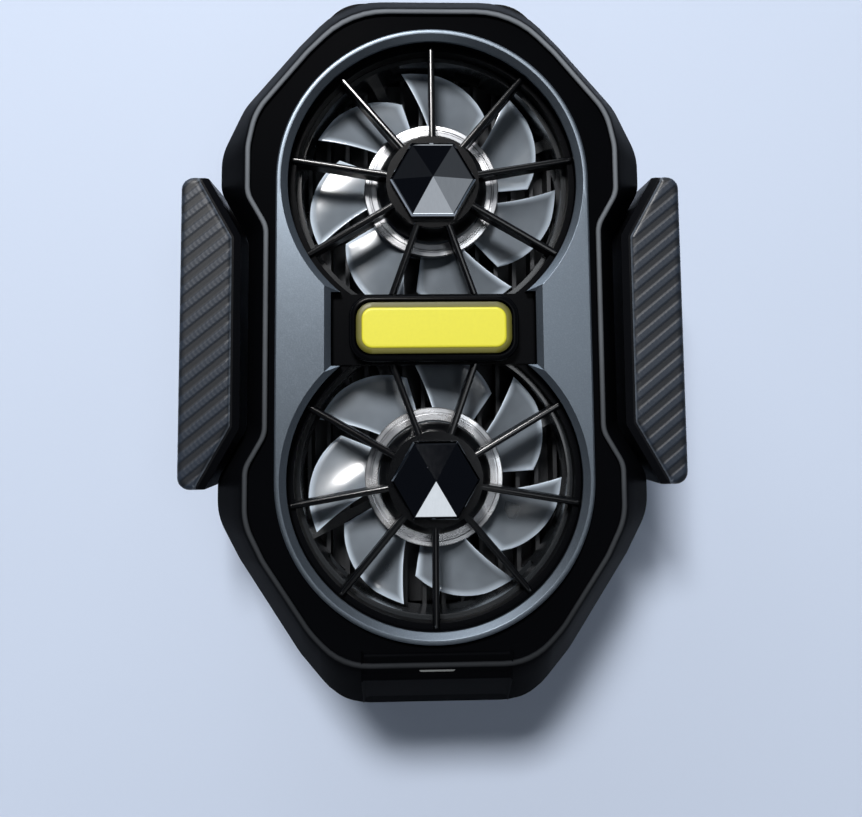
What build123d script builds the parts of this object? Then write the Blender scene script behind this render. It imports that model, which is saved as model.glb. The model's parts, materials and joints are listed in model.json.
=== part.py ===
from build123d import *
import math
import os

os.makedirs("parts", exist_ok=True)

# A clip-on cooler for phones, with two fans. All sizes are in millimetres.
# The origin is the middle of the cold face, which rests on the back of the phone.
# The fans look along +Z, the long side runs along Y and the two clamp arms slide along X.

# Thicknesses that stack up from the cold face to the front.
flange_thickness = 1.0
cover_wall = 1.6
module_thickness = 3.4
sink_base_thickness = 2.0
fin_height = 5.1
frame_height = 6.9
grille_gap = 0.2
grille_plate_thickness = 2.2
shell_wall = 1.6
fascia_thickness = 1.1
ridge_rise = 0.7
shell_depth = 7.8

back_z = flange_thickness
floor_z = back_z + cover_wall
sink_z = floor_z + module_thickness
fins_z = sink_z + sink_base_thickness
frame_z = fins_z + fin_height
frame_top_z = frame_z + frame_height
grille_z = frame_top_z + grille_gap
deck_z = grille_z + grille_plate_thickness
shelf_z = deck_z + shell_wall
face_z = shelf_z + fascia_thickness
ridge_z = shelf_z + ridge_rise
parting_z = ridge_z - shell_depth

# Small gaps and the overrun of cutting tools.
overrun = 1.0
fit_gap = 0.1
slide_gap = 0.15
wing_gap = 0.4

# Plan of the body: how far its ridge lies outside the fascia, and how its waist lies beside the wings.
shelf_margin = 4.5
waist_margin = 1.8
top_margin = 3.25
bottom_margin = 3.1
neck_length = 7.5
wing_overlap = 1.1

# How far the ridge on the front lies inside that plan.
shoulder_rake = 4.8
waist_rake = 3.3
top_rake = 4.4
bottom_rake = 6.75

# Corners of one end, from the shoulder to the middle, as shares of half width and of the length past the shoulder.
top_x_shares = (1.0, 0.890, 0.631, 0.416)
top_y_shares = (0.1867, 0.4355, 0.7598, 1.0)
bottom_x_shares = (1.0, 0.896, 0.618, 0.426)
bottom_y_shares = (0.1617, 0.3550, 0.7750, 1.0)
ridge_top_x_shares = (1.0, 0.959, 0.680, 0.446)
ridge_top_y_shares = (0.2607, 0.4460, 0.7723, 1.0)
ridge_bottom_x_shares = (1.0, 0.903, 0.662, 0.491)
ridge_bottom_y_shares = (0.2812, 0.4737, 0.8263, 1.0)
ridge_shoulder_share = 0.902
ridge_waist_share = 1.05

# Rounding of those corners, from the shoulder to the middle of one end.
shoulder_radius = 9.0
temple_radius = 9.0
brow_radius = 14.0
crown_radius = 6.5
neck_radius = 4.0

# Front: fascia plate, fan windows and the chin below the lower fan.
window_reveal = 1.5
notch_side_margin = 1.31
notch_end_margin = 0.5
fascia_land = 1.6
fascia_bevel = 0.5
fascia_edge_radius = 0.35
ridge_land = 0.8
chin_half_width = 10.4
chin_gap = 1.05
chin_lip = 4.2
chin_fall = 1.1
chin_foot = 0.3
light_width = 5.2
light_height = 1.0
light_proud = 0.12

# Grille in front of the fans.
spoke_count = 9
spoke_width = 0.95
spoke_drop = 0.9
spoke_crown = 0.1
grille_lip = 0.8
flange_lap = 1.2
pedestal_margin = 0.5
skirt_flare = 1.3
pedestal_skirt = 0.9
seat_rise = 0.4
seat_gap = 0.2
cap_radius = 6.2
cap_rim_height = 1.5
cap_bevel = 0.35
cap_ledge = 0.12
cap_height = 1.7

# Badge between the fans.
bezel_side = 1.05
bezel_end = 1.1
bezel_corner_radius = 2.4
bezel_height = 2.5
badge_half_width = 11.0
badge_half_length = 3.65
badge_corner_radius = 1.5
badge_recess = 0.9
badge_thickness = 1.0
badge_rim = 0.8
badge_pad_rise = 0.2

# Fans.
duct_radius = 19.3
frame_wall = 1.1
frame_spread = 1.7
frame_floor = 1.0
strut_count = 4
strut_width = 1.6
strut_angle = 25
duct_slot_count = 12
duct_slot_width = 4.0
duct_slot_height = 3.0
ear_neck = 0.4
ear_radius = 2.2
ear_gap = 1.17
rotor_gap = 0.6
hub_radius = 10.1
rotor_headroom = 2.0
hub_wall = 0.7
hub_top = 0.8
ring_width = 1.9
ring_thickness = 0.4
ring_edge = 0.15
blade_count = 7
blade_gap = 0.5
blade_thickness = 0.7
blade_lift = 0.4
blade_camber = 0.55
blade_station_shares = (0.85, 0.50, 1.04)
blade_trailing_shares = (-0.235, -0.22, -0.205)
blade_leading_shares = (0.354, 0.565, 0.749)
blade_round_shares = (0.376, 0.2285, 0.57)
shaft_radius = 0.75
shaft_gap = 0.03
shaft_boss_radius = 1.8
bearing_radius = 2.2
magnet_thickness = 1.0
magnet_gap = 0.5
pole_count = 6
pole_width = 2.0
pole_air_gap = 0.7
pole_shoe = 0.8
stator_core_radius = 3.6
stator_headroom = 1.1
stator_lift = 0.4

# Cooling stack.
plate_side_margin = 4.5
plate_end_margin = 4.1
plate_corner_radius = 6.0
plate_edge = 0.3
module_half_width = 15.0
ceramic_thickness = 0.7
ceramic_lip = 0.7
foam_wall = 0.8
foam_squeeze = 0.1
sink_gap = 0.5
sink_end_gap = 1.4
fin_count = 14
fin_thickness = 0.6
sink_post_side = 4.7
sink_post_end = 3.5
sink_post_radius = 2.0
sink_screw_radius = 0.9
sink_head_radius = 1.7
sink_head_height = 1.2

# Rear cover.
back_draft = 1.6
back_bevel = 1.5
parting_step = 0.25
boss_flange_gap = 0.4
boss_ear_gap = 2.18
boss_radius = 2.2
boss_joint_share = 0.45
cover_screw_radius = 1.0
cover_head_radius = 1.9
cover_head_height = 1.3
screw_bite = 3.0
vent_count = 5
vent_pitch = 2.6
vent_width = 1.5
vent_boss_offset = 2.5
end_vent_count = 6
end_vent_pitch = 3.2

# Controls and the inlet at the bottom end.
board_half_width = 12.0
board_length = 7.4
board_thickness = 1.0
board_inset = 0.5
board_post_inset = 3.0
board_post_radius = 1.5
lamp_width = 3.2
lamp_height = 0.8
socket_width = 8.94
socket_height = 3.26
socket_length = 7.3
socket_wall = 0.3
socket_depth = 6.2
socket_set_back = 0.3
socket_gap = 0.2
tongue_width = 6.7
tongue_thickness = 0.7
tongue_length = 4.4

# Clamp arms.
wing_reach = 4.8
wing_drop = 2.9
wing_leg_margin = 0.4
wing_corner_radius = 1.8
wing_bevel = 0.9
wing_edge_radius = 0.6
skin_thickness = 0.3
skin_margin = 0.25
skin_corner_share = 0.65
travel = 11.0
leg_width = 5.0
leg_headroom = 0.25
leg_tip_wall = 2.85
leg_pin_inset = 6.5
leg_pin_radius = 1.0
rail_width = 0.8
rail_gap = 0.25
rail_headroom = 0.5
spring_gap = 0.2
spring_wire = 0.35
jaw_depth = 12.0
jaw_inset = 5.5
jaw_wall = 2.5
jaw_corner_radius = 3.0
lip_reach = 2.0
lip_thickness = 1.6
pad_thickness = 0.9
pad_groove = 0.3
pad_groove_count = 4
pad_margin = 1.0

# Fan frames, rotors and the windows in front of them follow the duct.
frame_radius = duct_radius + frame_wall
fan_spacing = frame_radius * 2 + frame_spread
fan_centres = {"upper": fan_spacing / 2, "lower": -fan_spacing / 2}
blade_tip_radius = duct_radius - blade_gap
hub_height = frame_height - frame_floor - rotor_gap - rotor_headroom
ring_inner_radius = hub_radius - ring_width
blade_drop = hub_height - blade_lift
magnet_height = hub_height - hub_top - magnet_gap
stator_height = rotor_gap + hub_height - hub_top - stator_headroom
window_radius = duct_radius + window_reveal
grille_bore_radius = window_radius - grille_lip
flange_half_width = window_radius + flange_lap
fascia_half_width = window_radius + fascia_land
pedestal_radius = cap_radius + pedestal_margin
pedestal_skirt_radius = pedestal_radius + skirt_flare
bezel_half_width = badge_half_width + bezel_side
bezel_half_length = badge_half_length + bezel_end
notch_half_length = bezel_half_length + notch_end_margin
window_chord = math.sqrt(window_radius**2 - (fan_centres["upper"] - notch_half_length) ** 2)
notch_half_width = window_chord + notch_side_margin

# The legs of the arms pass beside the module, and the wings stand over the legs.
leg_slot_half = leg_width / 2 + slide_gap
leg_y = module_half_width + foam_wall + fit_gap + rail_gap + rail_width + leg_slot_half
leg_thickness = module_thickness - slide_gap - leg_headroom
leg_slot_height = leg_thickness + slide_gap * 2
leg_low_z = floor_z + slide_gap
rail_height = module_thickness - rail_headroom
spring_radius = leg_thickness / 2 - spring_gap
wing_half_length = leg_y + leg_width / 2 + wing_leg_margin
wing_top_z = ridge_z - wing_drop
jaw_half_length = wing_half_length - jaw_inset

# The body is drawn round the fascia, with its waist beside the wings.
ridge_half_width = fascia_half_width + shelf_margin
ridge_waist = fascia_half_width + waist_margin
ridge_top = fan_centres["upper"] + fascia_half_width + top_margin
ridge_bottom = fan_centres["upper"] + fascia_half_width + bottom_margin
body_half_width = ridge_half_width + shoulder_rake
waist_half_width = ridge_waist + waist_rake
body_top = ridge_top + top_rake
body_bottom = ridge_bottom + bottom_rake
shoulder_half_length = wing_half_length - wing_overlap
waist_half_length = shoulder_half_length - neck_length
chin_step_y = -fan_centres["upper"] - fascia_half_width - chin_gap
wing_outer = body_half_width + wing_reach
back_end_y = body_bottom - back_draft
wall_y = back_end_y - cover_wall
leg_pin_x = waist_half_width - leg_pin_inset
slot_outer = leg_pin_x + leg_pin_radius + slide_gap
slot_inner = leg_pin_x - travel - leg_pin_radius - slide_gap
leg_tip_x = slot_inner - leg_tip_wall

# Ears of the fan frames beside the legs, bosses beside the ears, and the heat sink between them.
ear_reach = frame_radius + ear_neck + ear_radius
ear_rise = leg_y + leg_slot_half + rail_width + ear_gap + ear_radius - fan_centres["upper"]
ear_side = math.sqrt(ear_reach**2 - ear_rise**2)
ear_rise_angle = math.degrees(math.asin(ear_rise / ear_reach))
ear_places = [(x, y + math.copysign(ear_rise, y)) for y in fan_centres.values() for x in (-ear_side, ear_side)]
boss_rise = ear_rise + ear_radius + boss_ear_gap + boss_radius
boss_y = fan_centres["upper"] + boss_rise
boss_x = math.sqrt((flange_half_width + boss_flange_gap + boss_radius) ** 2 - boss_rise**2)
sink_half_width = min(boss_x - boss_radius, ear_side - ear_radius) - sink_gap
sink_half_length = wall_y - board_inset - board_length - sink_end_gap
sink_post_x = sink_half_width - sink_post_side
sink_post_y = sink_half_length - sink_post_end
plate_half_width = waist_half_width - plate_side_margin
plate_half_length = boss_y - cover_head_radius - plate_end_margin
vent_height = fin_height - fit_gap
vent_middle_y = boss_y - vent_boss_offset
board_post_x = board_half_width - board_post_inset

first_blade_angles = {"upper": 71.8, "lower": -84.3}
sides = {"left": -1, "right": 1}


def end_corners(half_width, shoulder, length, x_shares, y_shares):
    """Corners of one end of the body, from the shoulder to the middle."""
    return [(half_width * x, shoulder + (length - shoulder) * y) for x, y in zip(x_shares, y_shares)]


def closed_outline(waist, waist_y, width, shoulder_y, top_end, bottom_end):
    """Anticlockwise corners of the whole body from the corners of its right side."""
    right = [(x, -y) for x, y in reversed(bottom_end)]
    right += [(width, -shoulder_y), (waist, -waist_y), (waist, waist_y), (width, shoulder_y)]
    right += top_end
    return right + [(-x, y) for x, y in reversed(right)]


def grown(corners, amount):
    """The same closed outline with each of its sides moved out by amount."""
    moved = []
    for before, here, after in zip(corners[-1:] + corners[:-1], corners, corners[1:] + corners[:1]):
        arriving = (Vector(*here) - Vector(*before)).normalized()
        leaving = (Vector(*after) - Vector(*here)).normalized()
        first = Vector(arriving.Y, -arriving.X)
        second = Vector(leaving.Y, -leaving.X)
        step = (first + second) * (amount / (1 + first.dot(second)))
        moved.append((here[0] + step.X, here[1] + step.Y))
    return moved


def between(low, high, share):
    """Corners on the straight flanks between two outlines."""
    return [(a[0] + (b[0] - a[0]) * share, a[1] + (b[1] - a[1]) * share) for a, b in zip(low, high)]


parting_corners = closed_outline(
    waist_half_width,
    waist_half_length,
    body_half_width,
    shoulder_half_length,
    end_corners(body_half_width, shoulder_half_length, body_top, top_x_shares, top_y_shares),
    end_corners(body_half_width, shoulder_half_length, body_bottom, bottom_x_shares, bottom_y_shares),
)
ridge_shoulder = shoulder_half_length * ridge_shoulder_share
ridge_corners = closed_outline(
    ridge_waist,
    waist_half_length * ridge_waist_share,
    ridge_half_width,
    ridge_shoulder,
    end_corners(ridge_half_width, ridge_shoulder, ridge_top, ridge_top_x_shares, ridge_top_y_shares),
    end_corners(ridge_half_width, ridge_shoulder, ridge_bottom, ridge_bottom_x_shares, ridge_bottom_y_shares),
)
deck_share = (deck_z - parting_z) / shell_depth
deck_corners = between(parting_corners, ridge_corners, deck_share)
end_radii = [crown_radius, brow_radius, temple_radius, shoulder_radius]
right_radii = end_radii + [neck_radius] * 4 + end_radii[::-1]
body_radii = right_radii + right_radii[::-1]


def fitting_radii(corners, radii):
    """The radii of a closed outline, each limited to what half of the sides beside its corner can hold."""
    fitting = []
    for before, here, after, radius in zip(corners[-1:] + corners[:-1], corners, corners[1:] + corners[:1], radii):
        arriving = Vector(*here) - Vector(*before)
        leaving = Vector(*after) - Vector(*here)
        half_turn = math.radians(arriving.get_angle(leaving)) / 2
        fitting.append(min(radius, min(arriving.length, leaving.length) / 2 / math.tan(half_turn)))
    return fitting


def body_face(corners):
    """Face of a body outline with rounded corners."""
    with BuildSketch() as face:
        with BuildLine():
            FilletPolyline(*corners, radius=fitting_radii(corners, body_radii), close=True)
        make_face()
    return face.sketch


def racetrack(half_width):
    """Face with round ends about the two fan axes."""
    SlotCenterToCenter(fan_spacing, half_width * 2, rotation=90)


def fan_windows(radius, margin):
    """The two round fan windows and the notch between them."""
    with Locations(*[(0, y) for y in fan_centres.values()]):
        Circle(radius)
    Rectangle((notch_half_width + margin) * 2, (notch_half_length + margin) * 2)


def corner_places(x, y):
    """Four places that mirror one another about both axes."""
    return [(x, y), (-x, y), (-x, -y), (x, -y)]


# Front shell: a raked wall under the ridge, a lower shelf for the fascia and the chin.
boss_joint_z = floor_z + (deck_z - floor_z) * boss_joint_share
chin_front_y = chin_step_y - chin_lip
with BuildPart() as front_shell:
    with BuildSketch(Plane.XY.offset(parting_z)):
        add(body_face(parting_corners))
    with BuildSketch(Plane.XY.offset(ridge_z)):
        add(body_face(ridge_corners))
    loft(ruled=True)
    with BuildSketch(Plane.XY.offset(shelf_z)):
        add(body_face(grown(ridge_corners, -ridge_land)))
    extrude(amount=ridge_rise + overrun, mode=Mode.SUBTRACT)
    with BuildSketch(Plane.YZ) as chin_side:
        with BuildLine():
            Polyline(
                (chin_step_y, shelf_z - shell_wall),
                (chin_step_y, ridge_z),
                (chin_front_y, ridge_z - chin_fall),
                (chin_foot - body_bottom, parting_z),
                (chin_foot + shell_wall - body_bottom, parting_z),
                close=True,
            )
        make_face()
    extrude(amount=chin_half_width, both=True)
    with BuildSketch(Plane.XY.offset(parting_z)):
        add(body_face(grown(parting_corners, -shell_wall)))
    with BuildSketch(Plane.XY.offset(deck_z)):
        add(body_face(grown(deck_corners, -shell_wall)))
    loft(ruled=True, mode=Mode.SUBTRACT)
    with BuildSketch(Plane.XY.offset(deck_z)):
        fan_windows(window_radius, 0)
    extrude(amount=shell_wall + overrun, mode=Mode.SUBTRACT)
    with BuildSketch(Plane.XY.offset(boss_joint_z)):
        with Locations(*corner_places(boss_x, boss_y)):
            Circle(boss_radius)
    extrude(amount=deck_z + shell_wall / 2 - boss_joint_z)
    with BuildSketch(Plane.XY.offset(boss_joint_z)):
        with Locations(*corner_places(boss_x, boss_y)):
            Circle(cover_screw_radius)
    extrude(amount=screw_bite, mode=Mode.SUBTRACT)
    with BuildSketch(Plane.XY.offset(deck_z - shell_wall)):
        with Locations((0, (chin_step_y + chin_front_y) / 2)):
            SlotOverall(light_width + fit_gap * 2, light_height + fit_gap * 2)
    extrude(amount=shell_wall * 2 + ridge_rise + overrun, mode=Mode.SUBTRACT)
front_shell.part.label = "front_shell"

# Fascia: a racetrack plate with both fan windows and a bevel around them.
with BuildPart() as fascia_plate:
    with BuildSketch(Plane.XY.offset(shelf_z)):
        racetrack(fascia_half_width)
    extrude(amount=fascia_thickness)
    fillet(fascia_plate.faces().sort_by(Axis.Z)[-1].edges(), fascia_edge_radius)
    with BuildSketch(Plane.XY.offset(shelf_z)):
        fan_windows(window_radius, 0)
    extrude(amount=fascia_thickness, mode=Mode.SUBTRACT)
    window_edges = fascia_plate.faces().sort_by(Axis.Z)[-1].inner_wires()[0].edges()
    chamfer(window_edges, fascia_bevel)
fascia_plate.part.label = "fascia_plate"

# One spoke of the grille, a fin standing on edge with a rounded top.
spoke_top_z = shelf_z - spoke_crown
with BuildPart() as spoke:
    with BuildSketch(Plane.XZ):
        with BuildLine():
            Polyline(
                (pedestal_radius - spoke_width, grille_z),
                (window_radius - fit_gap, grille_z),
                (window_radius - fit_gap, spoke_top_z - spoke_drop),
                (pedestal_radius - spoke_width, spoke_top_z),
                close=True,
            )
        make_face()
    extrude(amount=spoke_width / 2, both=True)
    crown_face = spoke.faces().sort_by(Axis.Z)[-1]
    crown_edges = crown_face.edges().sort_by(SortBy.LENGTH)[-2:]
    fillet(crown_edges, spoke_width * 0.42)

# Grille: one moulding with a flange under the deck, both sets of spokes and the badge seat.
seat_z = deck_z + seat_rise
with BuildPart() as grille:
    with BuildSketch(Plane.XY.offset(grille_z)):
        racetrack(flange_half_width)
        with Locations(*[(0, y) for y in fan_centres.values()]):
            Circle(grille_bore_radius, mode=Mode.SUBTRACT)
        Rectangle((notch_half_width - seat_gap) * 2, (notch_half_length - seat_gap) * 2)
    extrude(amount=grille_plate_thickness)
    with BuildSketch(Plane.XY.offset(deck_z)):
        Rectangle((notch_half_width - seat_gap) * 2, (notch_half_length - seat_gap) * 2)
    extrude(amount=seat_rise)
    for fan_y in fan_centres.values():
        with BuildSketch(Plane.XZ.offset(-fan_y)):
            with BuildLine():
                Polyline(
                    (0, grille_z - pedestal_skirt),
                    (pedestal_skirt_radius, grille_z - pedestal_skirt),
                    (pedestal_skirt_radius, grille_z),
                    (pedestal_radius, deck_z),
                    (pedestal_radius, shelf_z),
                    (0, shelf_z),
                    close=True,
                )
            make_face()
        revolve(axis=Axis((0, fan_y, 0), (0, 0, 1)))
        with Locations((0, fan_y)):
            with PolarLocations(0, spoke_count, start_angle=math.copysign(90, fan_y)):
                add(spoke.part)
    with BuildSketch(Plane.XY.offset(seat_z)):
        Rectangle((notch_half_width - seat_gap) * 2, (notch_half_length - seat_gap) * 2)
    extrude(amount=shelf_z, mode=Mode.SUBTRACT)
grille.part.label = "grille"

# Hub caps: low hexagonal pyramids on a bevelled rim.
cap_rim_z = shelf_z + cap_rim_height
hub_caps = {}
for name, fan_y in fan_centres.items():
    with BuildPart() as hub_cap:
        with BuildSketch(Plane.XY.offset(shelf_z)):
            with Locations((0, fan_y)):
                RegularPolygon(cap_radius, 6)
        extrude(amount=cap_rim_height)
        chamfer(hub_cap.faces().sort_by(Axis.Z)[-1].edges(), cap_bevel)
        with BuildSketch(Plane.XY.offset(cap_rim_z)):
            with Locations((0, fan_y)):
                RegularPolygon(cap_radius - cap_bevel - cap_ledge, 6)
        loft(sections=[hub_cap.pending_faces[0], Vertex(0, fan_y, cap_rim_z + cap_height)])
    hub_cap.part.label = f"{name}_hub_cap"
    hub_caps[name] = hub_cap.part

# Badge: a rounded bezel with a plate let into it.
bezel_top_z = seat_z + bezel_height
badge_z = bezel_top_z - badge_recess
with BuildPart() as badge_bezel:
    with BuildSketch(Plane.XY.offset(seat_z)):
        RectangleRounded(bezel_half_width * 2, bezel_half_length * 2, bezel_corner_radius)
    extrude(amount=bezel_height)
    fillet(badge_bezel.faces().sort_by(Axis.Z)[-1].edges(), bezel_half_length - badge_half_length - badge_rim / 2)
    with BuildSketch(Plane.XY.offset(badge_z)):
        RectangleRounded(badge_half_width * 2, badge_half_length * 2, badge_corner_radius)
    extrude(amount=badge_recess + overrun, mode=Mode.SUBTRACT)
badge_bezel.part.label = "badge_bezel"

with BuildPart() as badge_plate:
    with BuildSketch(Plane.XY.offset(badge_z)):
        RectangleRounded(
            (badge_half_width - fit_gap) * 2, (badge_half_length - fit_gap) * 2, badge_corner_radius - fit_gap
        )
    extrude(amount=badge_thickness)
    with BuildSketch(Plane.XY.offset(badge_z + badge_thickness)):
        RectangleRounded(
            (badge_half_width - badge_rim) * 2, (badge_half_length - badge_rim) * 2, badge_corner_radius - fit_gap
        )
    extrude(amount=badge_pad_rise)
    chamfer(badge_plate.faces().sort_by(Axis.Z)[-1].edges(), badge_pad_rise / 2)
badge_plate.part.label = "badge_plate"

# Rear cover: a tray with a bevelled back, screw holes, slots for the arms and vents.
socket_z = sink_z
board_z = socket_z + socket_height / 2
with BuildPart() as rear_cover:
    with BuildSketch(Plane.XY.offset(back_z)):
        add(body_face(grown(parting_corners, -back_draft - back_bevel)))
    with BuildSketch(Plane.XY.offset(back_z + back_bevel)):
        add(body_face(grown(parting_corners, -back_draft)))
    with BuildSketch(Plane.XY.offset(parting_z)):
        add(body_face(grown(parting_corners, -parting_step)))
    loft(ruled=True)
    with BuildSketch(Plane.XY.offset(floor_z)):
        add(body_face(grown(parting_corners, -back_draft - cover_wall)))
    with BuildSketch(Plane.XY.offset(parting_z)):
        add(body_face(grown(parting_corners, -parting_step - cover_wall)))
    loft(ruled=True, mode=Mode.SUBTRACT)
    with BuildSketch(Plane.XY.offset(floor_z)):
        for side in sides.values():
            with Locations(*[(side * body_half_width, y) for y in (-leg_y, leg_y)]):
                Rectangle((body_half_width - leg_pin_x - leg_pin_radius - rail_width) * 2, leg_slot_half * 2)
    extrude(amount=leg_slot_height, mode=Mode.SUBTRACT)
    with BuildSketch(Plane.XY.offset(back_z)):
        Rectangle((module_half_width + foam_wall) * 2, (module_half_width + foam_wall) * 2)
    extrude(amount=cover_wall, mode=Mode.SUBTRACT)
    with Locations(*[Location((x, y, back_z), (180, 0, 0)) for x, y in corner_places(boss_x, boss_y)]):
        CounterBoreHole(cover_screw_radius, cover_head_radius, cover_head_height, boss_joint_z)
    vent_z = (fins_z + frame_z) / 2
    with BuildSketch(Plane.YZ.offset(boss_x + boss_radius)):
        with Locations(*[(y, vent_z) for y in (-vent_middle_y, vent_middle_y)]):
            with GridLocations(vent_pitch, 0, vent_count, 1):
                SlotOverall(vent_height, vent_width, rotation=90)
    extrude(amount=body_half_width, mode=Mode.SUBTRACT)
    with BuildSketch(Plane.YZ.offset(-boss_x - boss_radius)):
        with Locations(*[(y, vent_z) for y in (-vent_middle_y, vent_middle_y)]):
            with GridLocations(vent_pitch, 0, vent_count, 1):
                SlotOverall(vent_height, vent_width, rotation=90)
    extrude(amount=-body_half_width, mode=Mode.SUBTRACT)
    with BuildSketch(Plane.XZ.offset(-body_top - overrun)):
        with Locations((0, vent_z)):
            with GridLocations(end_vent_pitch, 0, end_vent_count, 1):
                SlotOverall(vent_height, vent_width, rotation=90)
    extrude(amount=body_top - sink_half_length - overrun, mode=Mode.SUBTRACT)
    with BuildSketch(Plane.XZ.offset(body_bottom + overrun)):
        with Locations((0, socket_z)):
            SlotOverall(socket_width + socket_gap * 2, socket_height + socket_gap * 2)
    extrude(amount=-cover_wall - back_draft - overrun * 2, mode=Mode.SUBTRACT)
rear_cover.part.label = "rear_cover"

# Posts that stand on the cover: for its screws, the fan frames, the heat sink and the board.
board_post_y = board_inset + board_length / 2 - wall_y
with BuildPart() as cover_posts:
    with BuildSketch(Plane.XY.offset(floor_z)):
        with Locations(*corner_places(boss_x, boss_y)):
            Circle(boss_radius)
            Circle(cover_screw_radius, mode=Mode.SUBTRACT)
    extrude(amount=boss_joint_z - floor_z)
    with BuildSketch(Plane.XY.offset(floor_z)):
        with Locations(*ear_places):
            Circle(ear_radius)
    extrude(amount=frame_z - floor_z)
    with BuildSketch(Plane.XY.offset(frame_z)):
        with Locations(*ear_places):
            Circle(sink_screw_radius)
    extrude(amount=-screw_bite, mode=Mode.SUBTRACT)
    with BuildSketch(Plane.XY.offset(floor_z)):
        with Locations(*corner_places(sink_post_x, sink_post_y)):
            Circle(sink_post_radius)
            Circle(sink_screw_radius, mode=Mode.SUBTRACT)
    extrude(amount=sink_z - floor_z)
    with BuildSketch(Plane.XY.offset(floor_z)):
        with Locations((-board_post_x, board_post_y), (board_post_x, board_post_y)):
            Circle(board_post_radius)
    extrude(amount=board_z - floor_z)
cover_posts.part.label = "cover_posts"

# Guides on the cover for the legs of the arms: a rail on each side of a leg and a pin in its slot.
with BuildPart() as leg_guides:
    with BuildSketch(Plane.XY.offset(floor_z)):
        for y in (-leg_y, leg_y):
            for edge in (-1, 1):
                with Locations((0, y + edge * (leg_slot_half + rail_width / 2))):
                    Rectangle((leg_pin_x + leg_pin_radius) * 2, rail_width)
    extrude(amount=rail_height)
    with BuildSketch(Plane.XY.offset(floor_z)):
        with Locations(*corner_places(leg_pin_x, leg_y)):
            Circle(leg_pin_radius)
    extrude(amount=leg_slot_height - slide_gap)
leg_guides.part.label = "leg_guides"

# Cold plate: a flange on the back of the cover and a block that reaches the module.
with BuildPart() as cold_plate:
    with BuildSketch():
        RectangleRounded(plate_half_width * 2, plate_half_length * 2, plate_corner_radius)
    extrude(amount=flange_thickness)
    chamfer(cold_plate.faces().sort_by(Axis.Z)[0].edges(), plate_edge)
    with BuildSketch(Plane.XY.offset(flange_thickness)):
        Rectangle(module_half_width * 2, module_half_width * 2)
    extrude(amount=cover_wall)
cold_plate.part.label = "cold_plate"

# Thermoelectric module: two ceramic plates with the couples between them.
with BuildPart() as thermoelectric_module:
    with BuildSketch(Plane.XY.offset(floor_z)):
        Rectangle(module_half_width * 2, module_half_width * 2)
    extrude(amount=ceramic_thickness)
    with BuildSketch(Plane.XY.offset(floor_z + ceramic_thickness)):
        Rectangle((module_half_width - ceramic_lip) * 2, (module_half_width - ceramic_lip) * 2)
    extrude(amount=module_thickness - ceramic_thickness * 2)
    with BuildSketch(Plane.XY.offset(sink_z - ceramic_thickness)):
        Rectangle(module_half_width * 2, module_half_width * 2)
    extrude(amount=ceramic_thickness)
thermoelectric_module.part.label = "thermoelectric_module"

with BuildPart() as insulating_frame:
    with BuildSketch(Plane.XY.offset(back_z + cover_wall)):
        Rectangle((module_half_width + foam_wall + fit_gap) * 2, (module_half_width + foam_wall + fit_gap) * 2)
        Rectangle((module_half_width + fit_gap) * 2, (module_half_width + fit_gap) * 2, mode=Mode.SUBTRACT)
    extrude(amount=module_thickness - foam_squeeze)
insulating_frame.part.label = "insulating_frame"

# Heat sink: a base with straight fins along the body.
fin_pitch = (sink_half_width * 2 - fin_thickness) / (fin_count - 1)
with BuildPart() as heat_sink:
    with BuildSketch(Plane.XY.offset(sink_z)):
        Rectangle(sink_half_width * 2, sink_half_length * 2)
    extrude(amount=sink_base_thickness)
    with BuildSketch(Plane.XY.offset(fins_z)):
        with GridLocations(fin_pitch, 0, fin_count, 1):
            Rectangle(fin_thickness, sink_half_length * 2)
        with Locations(*corner_places(sink_post_x, sink_post_y)):
            Circle(sink_head_radius + slide_gap * 2, mode=Mode.SUBTRACT)
    extrude(amount=fin_height)
    with BuildSketch(Plane.XY.offset(sink_z)):
        with Locations(*corner_places(sink_post_x, sink_post_y)):
            Circle(sink_screw_radius + fit_gap)
    extrude(amount=sink_base_thickness, mode=Mode.SUBTRACT)
heat_sink.part.label = "heat_sink"

# Fan frames: a slotted duct, a motor seat on struts and two ears.
frame_middle = duct_radius + frame_wall / 2
frame_parts = {}
for name, fan_y in fan_centres.items():
    ears = [(x, y) for x, y in ear_places if y * fan_y > 0]
    with BuildPart() as fan_frame:
        with BuildSketch(Plane.XY.offset(frame_z)):
            with Locations((0, fan_y)):
                Circle(frame_radius)
                Circle(duct_radius, mode=Mode.SUBTRACT)
        extrude(amount=frame_height)
        with BuildSketch(Plane.XY.offset(frame_z)):
            with Locations((0, fan_y)):
                Circle(hub_radius)
                with PolarLocations((hub_radius + duct_radius) / 2, strut_count, start_angle=strut_angle):
                    Rectangle(duct_radius - hub_radius + strut_width, strut_width)
                for angle in (ear_rise_angle, 180 - ear_rise_angle):
                    with PolarLocations((ear_reach + frame_middle) / 2, 1, start_angle=math.copysign(angle, fan_y)):
                        Rectangle(ear_reach - frame_middle, ear_radius * 2)
            with Locations(*ears):
                Circle(ear_radius)
        extrude(amount=frame_floor)
        with BuildSketch(Plane.XY.offset(frame_z)):
            with Locations(*ears):
                Circle(sink_screw_radius + fit_gap)
        extrude(amount=frame_floor, mode=Mode.SUBTRACT)
        with Locations((0, fan_y, frame_z + frame_floor + duct_slot_height / 2)):
            with PolarLocations(frame_radius, duct_slot_count, start_angle=strut_angle / 2):
                Box(overrun * 4, duct_slot_width, duct_slot_height, mode=Mode.SUBTRACT)
    fan_frame.part.label = f"{name}_fan_frame"
    frame_parts[name] = fan_frame.part

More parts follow.
